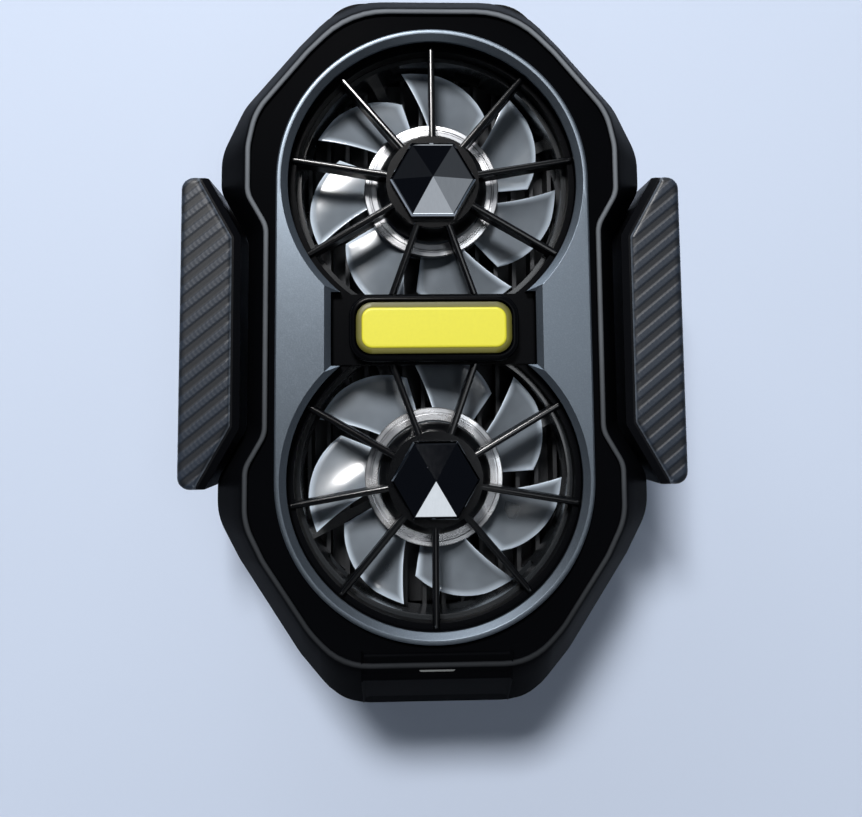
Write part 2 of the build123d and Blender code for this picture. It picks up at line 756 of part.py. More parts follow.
# Rotor: a cup with swept blades. Each blade is lofted through three cambered sections, and a circle set off
# the fan axis rounds its trailing corner, which leaves the tip sharp.
rotor_z = frame_z + frame_floor + rotor_gap
hub_top_z = rotor_z + hub_height
blade_top_z = hub_top_z
blade_stations = (
    hub_radius * blade_station_shares[0],
    hub_radius + (blade_tip_radius - hub_radius) * blade_station_shares[1],
    blade_tip_radius * blade_station_shares[2],
)
with BuildPart() as blade:
    for station, trailing, leading in zip(blade_stations, blade_trailing_shares, blade_leading_shares):
        low = (station * trailing, blade_top_z - blade_drop)
        high = (station * leading, blade_top_z)
        middle = ((low[0] + high[0]) / 2, (low[1] + high[1]) / 2 - blade_camber)
        with BuildSketch(Plane(origin=(station, 0, 0), x_dir=(0, 1, 0), z_dir=(1, 0, 0))):
            with BuildLine():
                ThreePointArc(low, middle, high)
                Line(high, (high[0], high[1] - blade_thickness))
                ThreePointArc(
                    (high[0], high[1] - blade_thickness),
                    (middle[0], middle[1] - blade_thickness),
                    (low[0], low[1] - blade_thickness),
                )
                Line((low[0], low[1] - blade_thickness), low)
            make_face()
    loft()
    with BuildSketch(Plane.XY.offset(rotor_z - hub_height)):
        Circle(blade_tip_radius)
        Circle(hub_radius - hub_wall / 2, mode=Mode.SUBTRACT)
    extrude(amount=hub_height * 3, mode=Mode.INTERSECT)
    round_x, round_y, round_radius = [blade_tip_radius * share for share in blade_round_shares]
    with BuildSketch(Plane.XY.offset(rotor_z - hub_height)):
        with Locations((round_x, round_y)):
            Circle(round_radius)
    extrude(amount=hub_height * 3, mode=Mode.INTERSECT)

fan_pieces = []
for name, fan_y in fan_centres.items():
    fan_axis = Axis((0, fan_y, 0), (0, 0, 1))
    with BuildPart() as rotor:
        with BuildSketch(Plane.XZ.offset(-fan_y)):
            with BuildLine():
                Polyline(
                    (shaft_radius, hub_top_z),
                    (shaft_radius, hub_top_z - hub_top * 2),
                    (shaft_boss_radius, hub_top_z - hub_top * 2),
                    (shaft_boss_radius, hub_top_z - hub_top),
                    (hub_radius - hub_wall, hub_top_z - hub_top),
                    (hub_radius - hub_wall, rotor_z),
                    (hub_radius, rotor_z),
                    (hub_radius, hub_top_z),
                    close=True,
                )
            make_face()
        revolve(axis=fan_axis)
        with Locations((0, fan_y)):
            with PolarLocations(0, blade_count, start_angle=first_blade_angles[name]):
                add(blade.part)
    rotor.part.label = f"{name}_rotor"
    with BuildPart() as hub_ring:
        with BuildSketch(Plane.XY.offset(hub_top_z)):
            with Locations((0, fan_y)):
                Circle(hub_radius)
                Circle(ring_inner_radius, mode=Mode.SUBTRACT)
        extrude(amount=ring_thickness)
        chamfer(hub_ring.faces().sort_by(Axis.Z)[-1].edges(), ring_edge)
    hub_ring.part.label = f"{name}_hub_ring"
    with BuildPart() as magnet_ring:
        with BuildSketch(Plane.XY.offset(hub_top_z - hub_top - magnet_height)):
            with Locations((0, fan_y)):
                Circle(hub_radius - hub_wall)
                Circle(hub_radius - hub_wall - magnet_thickness, mode=Mode.SUBTRACT)
        extrude(amount=magnet_height)
    magnet_ring.part.label = f"{name}_magnet_ring"
    with BuildPart() as rotor_shaft:
        with BuildSketch(Plane.XY.offset(frame_z + frame_floor + fit_gap)):
            with Locations((0, fan_y)):
                Circle(shaft_radius)
        extrude(amount=hub_top_z - frame_z - frame_floor - fit_gap)
    rotor_shaft.part.label = f"{name}_rotor_shaft"
    with BuildPart() as bearing:
        with BuildSketch(Plane.XY.offset(frame_z + frame_floor)):
            with Locations((0, fan_y)):
                Circle(bearing_radius)
                Circle(shaft_radius + shaft_gap, mode=Mode.SUBTRACT)
        extrude(amount=rotor_gap + hub_height - hub_top * 2 - fit_gap)
    bearing.part.label = f"{name}_bearing"
    pole_radius = hub_radius - hub_wall - magnet_thickness - pole_air_gap
    with BuildPart() as motor_stator:
        with BuildSketch(Plane.XY.offset(frame_z + frame_floor)):
            with Locations((0, fan_y)):
                Circle(stator_core_radius)
        extrude(amount=stator_lift)
        with BuildSketch(Plane.XY.offset(frame_z + frame_floor + stator_lift)):
            with Locations((0, fan_y)):
                Circle(pole_radius)
                Circle(pole_radius - pole_shoe, mode=Mode.SUBTRACT)
                with PolarLocations((pole_radius + stator_core_radius) / 2, pole_count, start_angle=30):
                    Rectangle(pole_radius - stator_core_radius, pole_width / 4, mode=Mode.SUBTRACT)
                Circle(stator_core_radius)
                with PolarLocations((pole_radius - pole_shoe / 2) / 2, pole_count):
                    Rectangle(pole_radius - pole_shoe / 2, pole_width)
        extrude(amount=stator_height - stator_lift)
        with BuildSketch(Plane.XY.offset(frame_z + frame_floor)):
            with Locations((0, fan_y)):
                Circle(bearing_radius)
        extrude(amount=stator_height, mode=Mode.SUBTRACT)
    motor_stator.part.label = f"{name}_motor_stator"
    fan_pieces += [rotor.part, hub_ring.part, magnet_ring.part, rotor_shaft.part, bearing.part, motor_stator.part]

# Control board with its lamp, the inlet below it and the light guide above it.
board_y = -wall_y + board_inset + board_length / 2
light_y = (chin_step_y + chin_front_y) / 2
lamp_top_z = board_z + board_thickness + lamp_height
with BuildPart() as control_board:
    with BuildSketch(Plane.XY.offset(board_z)):
        with Locations((0, board_y)):
            Rectangle(board_half_width * 2, board_length)
    extrude(amount=board_thickness)
    with BuildSketch(Plane.XY.offset(board_z + board_thickness)):
        with Locations((0, light_y)):
            Rectangle(lamp_width, light_height)
    extrude(amount=lamp_height)
control_board.part.label = "control_board"

with BuildPart() as indicator_light_guide:
    with BuildSketch(Plane.XY.offset(lamp_top_z)):
        with Locations((0, light_y)):
            SlotOverall(light_width, light_height)
    extrude(amount=ridge_z - chin_fall / 2 + light_proud - lamp_top_z)
indicator_light_guide.part.label = "indicator_light_guide"

mouth_y = -body_bottom + back_draft / 2 + socket_set_back
with BuildPart() as usb_socket:
    with BuildSketch(Plane.XZ.offset(-mouth_y)):
        with Locations((0, socket_z)):
            SlotOverall(socket_width, socket_height)
    extrude(amount=-socket_length)
    with BuildSketch(Plane.XZ.offset(-mouth_y)):
        with Locations((0, socket_z)):
            SlotOverall(socket_width - socket_wall * 2, socket_height - socket_wall * 2)
            Rectangle(tongue_width, tongue_thickness, mode=Mode.SUBTRACT)
    extrude(amount=-socket_depth, mode=Mode.SUBTRACT)
    with BuildSketch(Plane.XZ.offset(-mouth_y)):
        with Locations((0, socket_z)):
            Rectangle(tongue_width, tongue_thickness)
    extrude(amount=tongue_length - socket_depth, mode=Mode.SUBTRACT)
usb_socket.part.label = "usb_socket"

# Screws: for the cover, for the heat sink and for the fan frames.
with BuildPart() as cover_screws:
    with BuildSketch(Plane.XY.offset(back_z + fit_gap)):
        with Locations(*corner_places(boss_x, boss_y)):
            Circle(cover_head_radius - fit_gap)
    extrude(amount=cover_head_height - fit_gap)
    with BuildSketch(Plane.XY.offset(back_z + cover_head_height)):
        with Locations(*corner_places(boss_x, boss_y)):
            Circle(cover_screw_radius - fit_gap)
    extrude(amount=boss_joint_z + screw_bite - fit_gap - back_z - cover_head_height)
cover_screws.part.label = "cover_screws"

with BuildPart() as inner_screws:
    for places, seat in ((corner_places(sink_post_x, sink_post_y), fins_z), (ear_places, frame_z + frame_floor)):
        with BuildSketch(Plane.XY.offset(seat)):
            with Locations(*places):
                Circle(sink_head_radius)
        extrude(amount=sink_head_height)
        with BuildSketch(Plane.XY.offset(seat)):
            with Locations(*places):
                Circle(sink_screw_radius - fit_gap)
        extrude(amount=-screw_bite)
inner_screws.part.label = "inner_screws"

# Clamp arms: a wing beside the body, two legs that run under the heat sink and a jaw.
wing_inner = waist_half_width + wing_gap
neck_slope = (body_half_width - waist_half_width) / (shoulder_half_length - waist_half_length)
wing_shoulder = wing_inner + (wing_half_length - waist_half_length) * neck_slope
skin_end_width = wing_outer - wing_shoulder - (wing_bevel + skin_margin) * 2
skin_corner_radius = min(wing_corner_radius / 2, skin_end_width * skin_corner_share)
with BuildSketch() as jaw_outline:
    with Locations((0, (back_z - jaw_depth) / 2)):
        Rectangle(jaw_half_length * 2, jaw_depth + back_z)
    fillet(jaw_outline.vertices().group_by(Axis.Y)[0], jaw_corner_radius)

arm_pieces = []
for name, side in sides.items():
    inner = [(wing_inner, waist_half_length), (wing_shoulder, wing_half_length)]
    outer = [(wing_outer, wing_half_length), (wing_outer, -wing_half_length)]
    plan = inner + outer + [(x, -y) for x, y in reversed(inner)]
    plan = [(side * x, y) for x, y in plan]
    anticlockwise = plan if side < 0 else plan[::-1]
    jaw_inner = wing_outer - jaw_wall
    with BuildPart() as clamp_arm:
        with BuildSketch(Plane.XY.offset(back_z)):
            with BuildLine():
                Polyline(*anticlockwise, close=True)
            make_face()
        extrude(amount=wing_top_z - back_z)
        outer_edges = clamp_arm.edges().filter_by(Axis.Z).group_by(Axis.X)[0 if side < 0 else -1]
        fillet(outer_edges, wing_corner_radius)
        top_edges = clamp_arm.faces().sort_by(Axis.Z)[-1].edges()
        inner_edges = top_edges.filter_by(lambda edge: abs(edge.center().X) < wing_shoulder)
        chamfer(inner_edges, wing_bevel)
        top_edges = clamp_arm.faces().sort_by(Axis.Z)[-1].edges()
        rim_edges = top_edges.filter_by(lambda edge: abs(edge.center().X) > wing_shoulder)
        fillet(rim_edges, wing_edge_radius)
        with BuildSketch(Plane.YZ.offset(side * jaw_inner)):
            add(jaw_outline.sketch)
        extrude(amount=side * jaw_wall)
        with BuildSketch(Plane.YZ.offset(side * (jaw_inner - lip_reach))):
            add(jaw_outline.sketch)
            with Locations((0, lip_thickness / 2 - jaw_depth)):
                Rectangle(jaw_half_length * 2, lip_thickness, mode=Mode.INTERSECT)
        extrude(amount=side * (lip_reach + jaw_wall))
        with BuildSketch(Plane.XY.offset(leg_low_z)):
            for y in (-leg_y, leg_y):
                with Locations((side * (leg_tip_x + wing_outer - jaw_wall) / 2, y)):
                    Rectangle(wing_outer - jaw_wall - leg_tip_x, leg_width)
        extrude(amount=leg_thickness)
        with BuildSketch(Plane.XY.offset(leg_low_z)):
            with Locations(*[(side * (slot_outer + slot_inner) / 2, y) for y in (-leg_y, leg_y)]):
                SlotOverall(slot_outer - slot_inner, (leg_pin_radius + slide_gap) * 2)
        extrude(amount=leg_thickness, mode=Mode.SUBTRACT)
    clamp_arm.part.label = f"{name}_clamp_arm"
    with BuildPart() as carbon_skin:
        with BuildSketch(Plane.XY.offset(wing_top_z)):
            with BuildLine():
                skin_corners = grown(anticlockwise, -wing_bevel - skin_margin)
                FilletPolyline(*skin_corners, radius=skin_corner_radius, close=True)
            make_face()
        extrude(amount=skin_thickness)
    carbon_skin.part.label = f"{name}_carbon_skin"
    pad_low_z = lip_thickness - jaw_depth + fit_gap
    pad_high_z = back_z - fit_gap
    pad_height = pad_high_z - pad_low_z
    groove_pitch = pad_height / (pad_groove_count + 1)
    with BuildPart() as jaw_pad:
        with BuildSketch(Plane.YZ.offset(side * (jaw_inner - pad_thickness))):
            with Locations((0, (pad_low_z + pad_high_z) / 2)):
                Rectangle((jaw_half_length - pad_margin) * 2, pad_height)
        extrude(amount=side * pad_thickness)
        with BuildSketch(Plane.YZ.offset(side * (jaw_inner - pad_thickness))):
            with Locations((0, (pad_low_z + pad_high_z) / 2)):
                with GridLocations(0, groove_pitch, 1, pad_groove_count):
                    Rectangle((jaw_half_length - pad_margin) * 2, pad_groove * 2)
        extrude(amount=side * pad_groove, mode=Mode.SUBTRACT)
    jaw_pad.part.label = f"{name}_jaw_pad"
    arm_pieces += [clamp_arm.part, carbon_skin.part, jaw_pad.part]

# Springs: each draws the two legs on its side of the body together.
spring_z = leg_low_z + leg_thickness / 2
with BuildPart() as clamp_springs:
    with BuildSketch(Plane.YZ.offset(-leg_tip_x + fit_gap)):
        with Locations((-leg_y, spring_z), (leg_y, spring_z)):
            Circle(spring_radius)
            Circle(spring_radius - spring_wire, mode=Mode.SUBTRACT)
    extrude(amount=(leg_tip_x - fit_gap) * 2)
clamp_springs.part.label = "clamp_springs"

housing_pieces = [
    front_shell.part,
    fascia_plate.part,
    grille.part,
    badge_bezel.part,
    badge_plate.part,
    rear_cover.part,
    cover_posts.part,
    leg_guides.part,
    cold_plate.part,
    thermoelectric_module.part,
    insulating_frame.part,
    heat_sink.part,
    control_board.part,
    indicator_light_guide.part,
    usb_socket.part,
    cover_screws.part,
    inner_screws.part,
    clamp_springs.part,
]
housing_pieces += list(hub_caps.values()) + list(frame_parts.values())
for piece in housing_pieces + fan_pieces + arm_pieces:
    export_step(piece, f"parts/{piece.label}.step")
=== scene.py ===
import json
import math

import bmesh
import bpy
import numpy as np
from mathutils import Matrix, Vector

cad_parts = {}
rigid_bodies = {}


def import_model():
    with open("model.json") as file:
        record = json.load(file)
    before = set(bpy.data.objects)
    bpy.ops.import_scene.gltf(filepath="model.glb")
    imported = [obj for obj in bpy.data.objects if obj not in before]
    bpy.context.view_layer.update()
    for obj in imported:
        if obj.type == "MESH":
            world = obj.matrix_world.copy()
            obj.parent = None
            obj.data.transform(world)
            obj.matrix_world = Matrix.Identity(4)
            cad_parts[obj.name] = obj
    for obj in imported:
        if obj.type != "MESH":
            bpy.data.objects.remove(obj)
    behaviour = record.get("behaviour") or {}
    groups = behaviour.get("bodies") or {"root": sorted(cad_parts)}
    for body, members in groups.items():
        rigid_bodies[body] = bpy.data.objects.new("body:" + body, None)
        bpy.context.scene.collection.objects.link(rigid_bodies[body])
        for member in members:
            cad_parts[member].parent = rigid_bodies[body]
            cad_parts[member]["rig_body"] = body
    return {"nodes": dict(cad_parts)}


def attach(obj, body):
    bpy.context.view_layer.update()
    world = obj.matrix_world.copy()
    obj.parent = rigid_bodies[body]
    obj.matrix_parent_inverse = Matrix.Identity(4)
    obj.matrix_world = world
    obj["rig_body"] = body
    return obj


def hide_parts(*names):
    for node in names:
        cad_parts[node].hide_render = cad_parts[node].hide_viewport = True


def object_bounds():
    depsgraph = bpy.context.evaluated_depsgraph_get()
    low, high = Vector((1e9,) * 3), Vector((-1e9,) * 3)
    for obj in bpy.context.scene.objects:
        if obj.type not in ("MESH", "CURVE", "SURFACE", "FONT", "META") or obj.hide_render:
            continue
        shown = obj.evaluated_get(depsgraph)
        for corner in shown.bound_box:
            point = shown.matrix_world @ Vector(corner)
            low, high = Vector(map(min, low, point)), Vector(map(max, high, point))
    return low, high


bl_info = {
    "name": "Clip-on phone cooler",
    "version": (1, 0, 0),
    "blender": (4, 5, 0),
    "location": "3D View > Sidebar > Cooler",
    "description": "Dresses the frame of a phone cooler with two fans in detailed pieces and finishes",
    "category": "Add Mesh",
}

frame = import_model()
cad_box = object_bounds()

MM = 0.001
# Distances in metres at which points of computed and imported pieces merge. Angles in degrees up to which faces
# join as flat, and past which an edge is rounded, or shaded as an edge.
MERGE_DISTANCE, NODE_MERGE_DISTANCE = 2e-7, 1e-6
FLAT_ANGLE, SHARP_ANGLE, SMOOTH_ANGLE = 0.4, 35, 40
# A corner radius that merging makes sharp.
TIGHT = 0.0004
LENGTH = {"unit": "LENGTH", "precision": 5}

# Plan of the body, in millimetres: the right side from the shoulder to the middle of each end.
PARTING_TOP = ((31.7, 26.98), (28.21, 34.42), (20.0, 44.12), (13.19, 51.3))
PARTING_BOTTOM = ((31.7, 26.59), (28.40, 32.80), (19.59, 46.28), (13.50, 53.5))
PARTING_SHOULDER = (31.7, 21.4)
PARTING_WAIST = (27.5, 13.9)
RIDGE_TOP = ((26.9, 26.50), (25.80, 31.61), (18.29, 40.62), (12.0, 46.9))
RIDGE_BOTTOM = ((26.9, 27.02), (24.29, 32.30), (17.81, 41.98), (13.21, 46.75))
RIDGE_SHOULDER = (26.9, 19.30)
RIDGE_WAIST = (24.2, 14.60)
BOTTOM_RADII = (9.0, 14.0, 9.0, 9.0)
TOP_RADII = (9.0, 9.0, 14.0, 13.0)
NECK_RADIUS = 4.0
# Thickness of the flank at its foot and at the deck, and height of the ridge bead as a share of half its width.
FOOT_WALL, DECK_WALL, BEAD_HEIGHT = 1.5, 1.6, 0.8

# Heights above the cold face, then the fans, windows, blades, cap, badge, wings and chin, in millimetres.
PARTING_Z, DECK_Z, SHELF_Z, FACE_Z, RIDGE_Z = 16.9, 22.4, 24.0, 25.1, 24.7
ROTOR_Z, BLADE_TOP = 14.7, 18.0
FAN_Y = 21.25
FANS = {"upper": FAN_Y, "lower": -FAN_Y}
WINDOW_RADIUS, NOTCH_X, NOTCH_Y = 20.8, 14.6, 5.25
WINDOW_POINTS = 56
FASCIA_HALF = 22.4
HUB_RADIUS, TIP_RADIUS = 10.1, 18.8
ROUND_X, ROUND_Y, ROUND_RADIUS = 0.391 * TIP_RADIUS, 0.2018 * TIP_RADIUS, 0.57 * TIP_RADIUS
FIRST_BLADE = {"upper": math.radians(71.8), "lower": math.radians(-84.3)}
BLADE_COUNT, BLADE_DROP, BLADE_SAG = 7, 2.9, 0.55
# Tangents of the angle of a blade's two sides, at its root, middle and tip.
TRAILING_TANGENTS, LEADING_TANGENTS = (-0.31, -0.295, -0.28), (0.354, 0.565, 0.749)
CAP_RADIUS, CAP_RIM, CAP_HEIGHT = 6.2, 1.5, 3.14
BEZEL_HALF, BEZEL_RADIUS, BEZEL_Z = (12.05, 4.75), 3.1, (22.8, 25.3)
BADGE_HALF, BADGE_RADIUS, BADGE_Z = (10.98, 3.63), 2.3, 24.4
WING_OUTLINE = ((28.95, 13.6), (33.5, 21.72), (33.75, 22.5), (36.5, 22.5))
WING_RADII = (0.8, 0.3, 0.6, 1.8)
# How far the outline of a wing's skin is drawn in at each height.
WING_LEVELS = (
    (0.0, 21.1), (0.005, 21.4), (0.07, 21.68), (0.2, 21.88), (0.4, 22.02), (0.7, 22.09), (1.1, 22.1),
)
# The way that the slanting inner side of a wing faces, and the width of the painted highlight along its inner
# edge.
WING_LEAN, INNER_HIGHLIGHT_WIDTH = (0.873, 0.489), 0.34
SPOKE_CREST_Z = 22.85
CHIN_X, CHIN_END = 10.4, 0.35
CHIN_SIDE = ((-44.7, 22.4), (-44.7, 24.7), (-48.4, 23.6), (-52.9, 17.4), (-51.6, 16.95))
CHIN_RADII = (0.3, 0.35, 0.8, 0.3, 0.3)

# Half the width of the floor in metres, and the points along a side.
FLOOR_HALF, FLOOR_POINTS = 2.0, 9

# The camera of the photograph: its place in millimetres, turns about x, y and z in radians, focal length and
# middle in pixels, and the width of its sensor in millimetres.
PHOTO_WIDTH, PHOTO_HEIGHT = 862, 817
CAMERA_PLACE = (-4.334, -11.170, 155.0)
CAMERA_TURNS = (-0.0936, -0.0343, -0.0096)
FOCAL_PIXELS = 925.24
MIDDLE_PIXEL = (435.01, 320.40)
SENSOR_WIDTH = 36.0

# Lights: name, place in metres, size, power in watts or the name of the setting that gives it, and colour. The
# cards are faint, and each one shows in a few facets of the caps or in one stretch of the fascia.
LIGHTS = (
    ("key", (-0.145, 0.457, 0.82), (0.22, 0.17), "key_power", (1.0, 0.985, 0.975)),
    ("low", (-0.2, 1.1, 0.38), (1.2, 0.4), "low_power", (0.9, 0.95, 1.0)),
    ("card_low", (-0.02, -0.17, 0.58), (0.16, 0.07), 0.02, (0.92, 0.96, 1.0)),
    ("card_right", (0.13, 0.03, 0.56), (0.16, 0.16), 0.2, (0.92, 0.96, 1.0)),
    ("card_near", (0.03, -0.44, 0.46), (0.13, 0.14), 0.072, (0.95, 0.98, 1.0)),
    ("card_middle", (0.03, -0.235, 0.54), (0.13, 0.12), 0.033, (0.92, 0.96, 1.0)),
    ("card_side", (0.40, -0.05, 0.52), (0.12, 0.12), 0.017, (0.9, 0.95, 1.0)),
    ("card_left", (-0.35, 0.41, 0.5), (0.14, 0.14), 0.0009, (0.88, 0.94, 1.0)),
    ("card_far", (0.29, 0.31, 0.36), (0.16, 0.16), 0.006, (0.88, 0.94, 1.0)),
)

# Inner nodes: node, material slot and finish.
INNER_NODES = [(f"{fan}_{node}", slot, name) for fan in FANS for node, slot, name in (
    ("fan_frame", "smoke_frame", "duct"),
    ("magnet_ring", "magnet", "magnet"),
    ("rotor_shaft", "shaft_steel", "shaft"),
    ("bearing", "bearing_brass", "brass"),
    ("motor_stator", "stator_iron", "stator"),
)] + [
    ("thermoelectric_module", "ceramic", "ceramic"),
    ("insulating_frame", "foam", "foam"),
    ("heat_sink", "heat_sink_metal", "fins"),
    ("control_board", "circuit_board", "circuit"),
    ("inner_screws", "screw_steel", "screw"),
    ("clamp_springs", "spring_steel", "spring"),
    ("cover_posts", "black_cover", "cover"),
    ("leg_guides", "black_cover", "cover"),
]


class CoolerSizes(bpy.types.PropertyGroup):
    """Sizes of the pieces that are worked out here. They follow the frame."""

    ridge_width: bpy.props.FloatProperty(
        name="Ridge width", description="Width of the bead round the front", default=0.8 * MM, **LENGTH
    )
    fascia_bevel: bpy.props.FloatProperty(
        name="Window bevel", description="Width of the bevel round the fan windows", default=0.85 * MM, **LENGTH
    )
    blade_thickness: bpy.props.FloatProperty(
        name="Blade thickness", description="Thickness of a fan blade", default=0.6 * MM, **LENGTH
    )
    edge_rounding: bpy.props.FloatProperty(
        name="Edge rounding", description="Rounding of moulded edges", default=0.18 * MM, **LENGTH
    )
    twill_pitch: bpy.props.FloatProperty(
        name="Twill pitch", description="Distance between the ribs of the weave", default=2.05 * MM, **LENGTH
    )


class CoolerColours(bpy.types.PropertyGroup):
    """Colours of the finishes."""

    shell: bpy.props.FloatVectorProperty(
        name="Shell", description="Moulded shell", subtype="COLOR", default=(0.0018, 0.002, 0.0026)
    )
    fascia: bpy.props.FloatVectorProperty(
        name="Fascia", description="Plate round the windows", subtype="COLOR", default=(0.122, 0.147, 0.176)
    )
    badge: bpy.props.FloatVectorProperty(
        name="Badge", description="Badge between the fans", subtype="COLOR", default=(0.74, 0.69, 0.036)
    )
    blade: bpy.props.FloatVectorProperty(
        name="Blade", description="Smoke-clear fan blades", subtype="COLOR", default=(0.29, 0.335, 0.385)
    )
    carbon: bpy.props.FloatVectorProperty(
        name="Carbon", description="Woven skin of the wings", subtype="COLOR", default=(0.0095, 0.0138, 0.0215)
    )
    floor: bpy.props.FloatVectorProperty(
        name="Floor", description="Surface under the cooler", subtype="COLOR", default=(0.575, 0.655, 0.80)
    )


class CoolerStage(bpy.types.PropertyGroup):
    """Light of the stage."""

    key_power: bpy.props.FloatProperty(
        name="Key light", description="Power of the soft light over the top end", default=9.4, unit="POWER"
    )
    low_power: bpy.props.FloatProperty(
        name="Low light", description="Power of the wide light beyond the top end", default=5.5, unit="POWER"
    )
    ambient: bpy.props.FloatProperty(
        name="Ambient", description="Strength of the even light all round", default=0.5, unit="NONE"
    )


def choices(group):
    """The values of one property group of this scene."""
    return getattr(bpy.context.scene, f"cooler_{group}")


def closed_outline(waist, shoulder, top_end, bottom_end):
    """Anticlockwise corners of the body: the right side from bottom to top, then its mirror image."""
    right = [(x, -y) for x, y in reversed(bottom_end)]
    right += [(shoulder[0], -shoulder[1]), (waist[0], -waist[1]), waist, shoulder]
    right += list(top_end)
    return np.array(right + [(-x, y) for x, y in reversed(right)], float)


def grown(corners, amount):
    """The outline with each side moved out by amount: corners move along the bisector of their sides."""
    ahead = np.roll(corners, -1, 0) - corners
    leaving = ahead / np.linalg.norm(ahead, axis=1, keepdims=True)
    arriving = np.roll(leaving, 1, 0)
    first = np.stack([arriving[:, 1], -arriving[:, 0]], 1)
    second = np.stack([leaving[:, 1], -leaving[:, 0]], 1)
    share = amount / (1 + (first * second).sum(1, keepdims=True))
    return corners + (first + second) * share


def rounded(corners, radii, arc_steps=6, side_steps=7):
    """A closed outline with an arc at each corner: tangent points at radius times the tangent of half the turn,
    and each straight side divided evenly, so outlines with the same corners have matching points."""
    ahead = np.roll(corners, -1, 0) - corners
    leaving = ahead / np.linalg.norm(ahead, axis=1, keepdims=True)
    arriving = np.roll(leaving, 1, 0)
    cross = arriving[:, 0] * leaving[:, 1] - arriving[:, 1] * leaving[:, 0]
    turn = np.arctan2(cross, (arriving * leaving).sum(1))
    radii = np.broadcast_to(radii, turn.shape) * np.sign(turn)
    start = corners - arriving * (radii * np.tan(turn / 2))[:, None]
    centre = start + np.stack([-arriving[:, 1], arriving[:, 0]], 1) * radii[:, None]
    spoke = start - centre
    angle = turn[:, None] * np.linspace(0, 1, arc_steps + 1)
    cosine, sine = np.cos(angle), np.sin(angle)
    arc_x = centre[:, :1] + spoke[:, :1] * cosine - spoke[:, 1:] * sine
    arc_y = centre[:, 1:] + spoke[:, :1] * sine + spoke[:, 1:] * cosine
    arcs = np.stack([arc_x, arc_y], -1)
    share = np.linspace(0, 1, side_steps + 1)[1:-1][:, None]
    sides = arcs[:, -1][:, None] * (1 - share) + np.roll(arcs[:, 0], -1, 0)[:, None] * share
    return np.concatenate([arcs, sides], 1).reshape(-1, 2)


def at_height(outline, z):
    """The points of a flat outline at one height."""
    return np.column_stack([outline, np.full(len(outline), z)])


def grid_faces(rows, columns, rows_close=True, columns_close=True):
    """Quads between neighbouring points of a grid that is stored row by row."""
    row = np.arange(rows if rows_close else rows - 1)
    column = np.arange(columns if columns_close else columns - 1)
    row, column = np.meshgrid(row, column, indexing="ij")
    below, right = (row + 1) % rows, (column + 1) % columns
    corners = [row * columns + column, row * columns + right, below * columns + right, below * columns + column]
    return np.stack(corners, -1).reshape(-1, 4).tolist()


class Form:
    """Points and faces of one piece, gathered from surfaces, in millimetres. Each method returns the form."""

    def __init__(self):
        self.points = []
        self.faces = []
        self.shares = []
        self.count = 0

    def add(self, points, faces, share=0.0):
        """Takes a surface whose faces count from zero, and one number from 0 to 1 for each point."""
        points = np.asarray(points, float).reshape(-1, 3)
        self.points.append(points)
        self.shares.append(np.broadcast_to(np.asarray(share, float).reshape(-1), len(points)))
        self.faces += [[self.count + corner for corner in face] for face in faces]
        self.count += len(points)
        return self

    def loop(self, rings, share=0.0):
        """A band of rings that closes on itself both ways, like a tyre."""
        rings = np.stack(rings)
        return self.add(rings, grid_faces(rings.shape[0], rings.shape[1]), share)

    def plug(self, rings, share=0.0):
        """A stack of rings closed by a flat face at each end."""
        rings = np.stack(rings)
        rows, columns = rings.shape[:2]
        faces = grid_faces(rows, columns, rows_close=False)
        faces += [list(range(columns))[::-1], list(range((rows - 1) * columns, rows * columns))]
        return self.add(rings, faces, share)

    def slab(self, upper, lower, share=0.0):
        """Two grids of the same shape, one over the other, joined all round."""
        rows, columns = upper.shape[:2]
        number = np.arange(rows * columns).reshape(rows, columns)
        edge = np.concatenate([number[0, :-1], number[:-1, -1], number[-1, :0:-1], number[:0:-1, 0]])
        faces = grid_faces(rows, columns, rows_close=False, columns_close=False)
        faces += [[corner + rows * columns for corner in face[::-1]] for face in faces]
        after = np.roll(edge, -1)
        faces += np.stack([after, edge, edge + rows * columns, after + rows * columns], -1).tolist()
        share = np.broadcast_to(share, (rows, columns)).reshape(-1)
        points = np.concatenate([upper.reshape(-1, 3), lower.reshape(-1, 3)])
        return self.add(points, faces, np.tile(share, 2))


def shade(mesh, smooth_angle):
    """Smooth shading that breaks where faces meet at more than smooth_angle."""
    mesh.polygons.foreach_set("use_smooth", np.ones(len(mesh.polygons), bool))
    mesh.set_sharp_from_angle(angle=math.radians(smooth_angle))
    mesh.update()


def settle(name, mesh, body, look, nodes):
    """Puts a finished mesh on its body, in place of its nodes."""
    piece = bpy.data.objects.new(name, mesh)
    bpy.context.scene.collection.objects.link(piece)
    mesh.materials.clear()
    mesh.materials.append(finish(look))
    mesh.polygons.foreach_set("material_index", np.zeros(len(mesh.polygons), np.int32))
    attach(piece, body)
    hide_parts(*nodes)
    piece.modifiers.new("Flat faces", "WEIGHTED_NORMAL").keep_sharp = True


def build(name, form, body, look, nodes, smooth_angle=SMOOTH_ANGLE):
    """Makes a piece of a form: merged, its faces outwards, shaded smooth over its roundings."""
    points = np.concatenate(form.points) * MM
    mesh = bpy.data.meshes.new(name)
    mesh.from_pydata(points.tolist(), [], form.faces)
    level = mesh.attributes.new("share", "FLOAT", "POINT")
    level.data.foreach_set("value", np.concatenate(form.shares).astype(np.float32))
    work = bmesh.new()
    work.from_mesh(mesh)
    bmesh.ops.remove_doubles(work, verts=work.verts, dist=MERGE_DISTANCE)
    bmesh.ops.recalc_face_normals(work, faces=work.faces)
    work.to_mesh(mesh)
    work.free()
    shade(mesh, smooth_angle)
    settle(name, mesh, body, look, nodes)


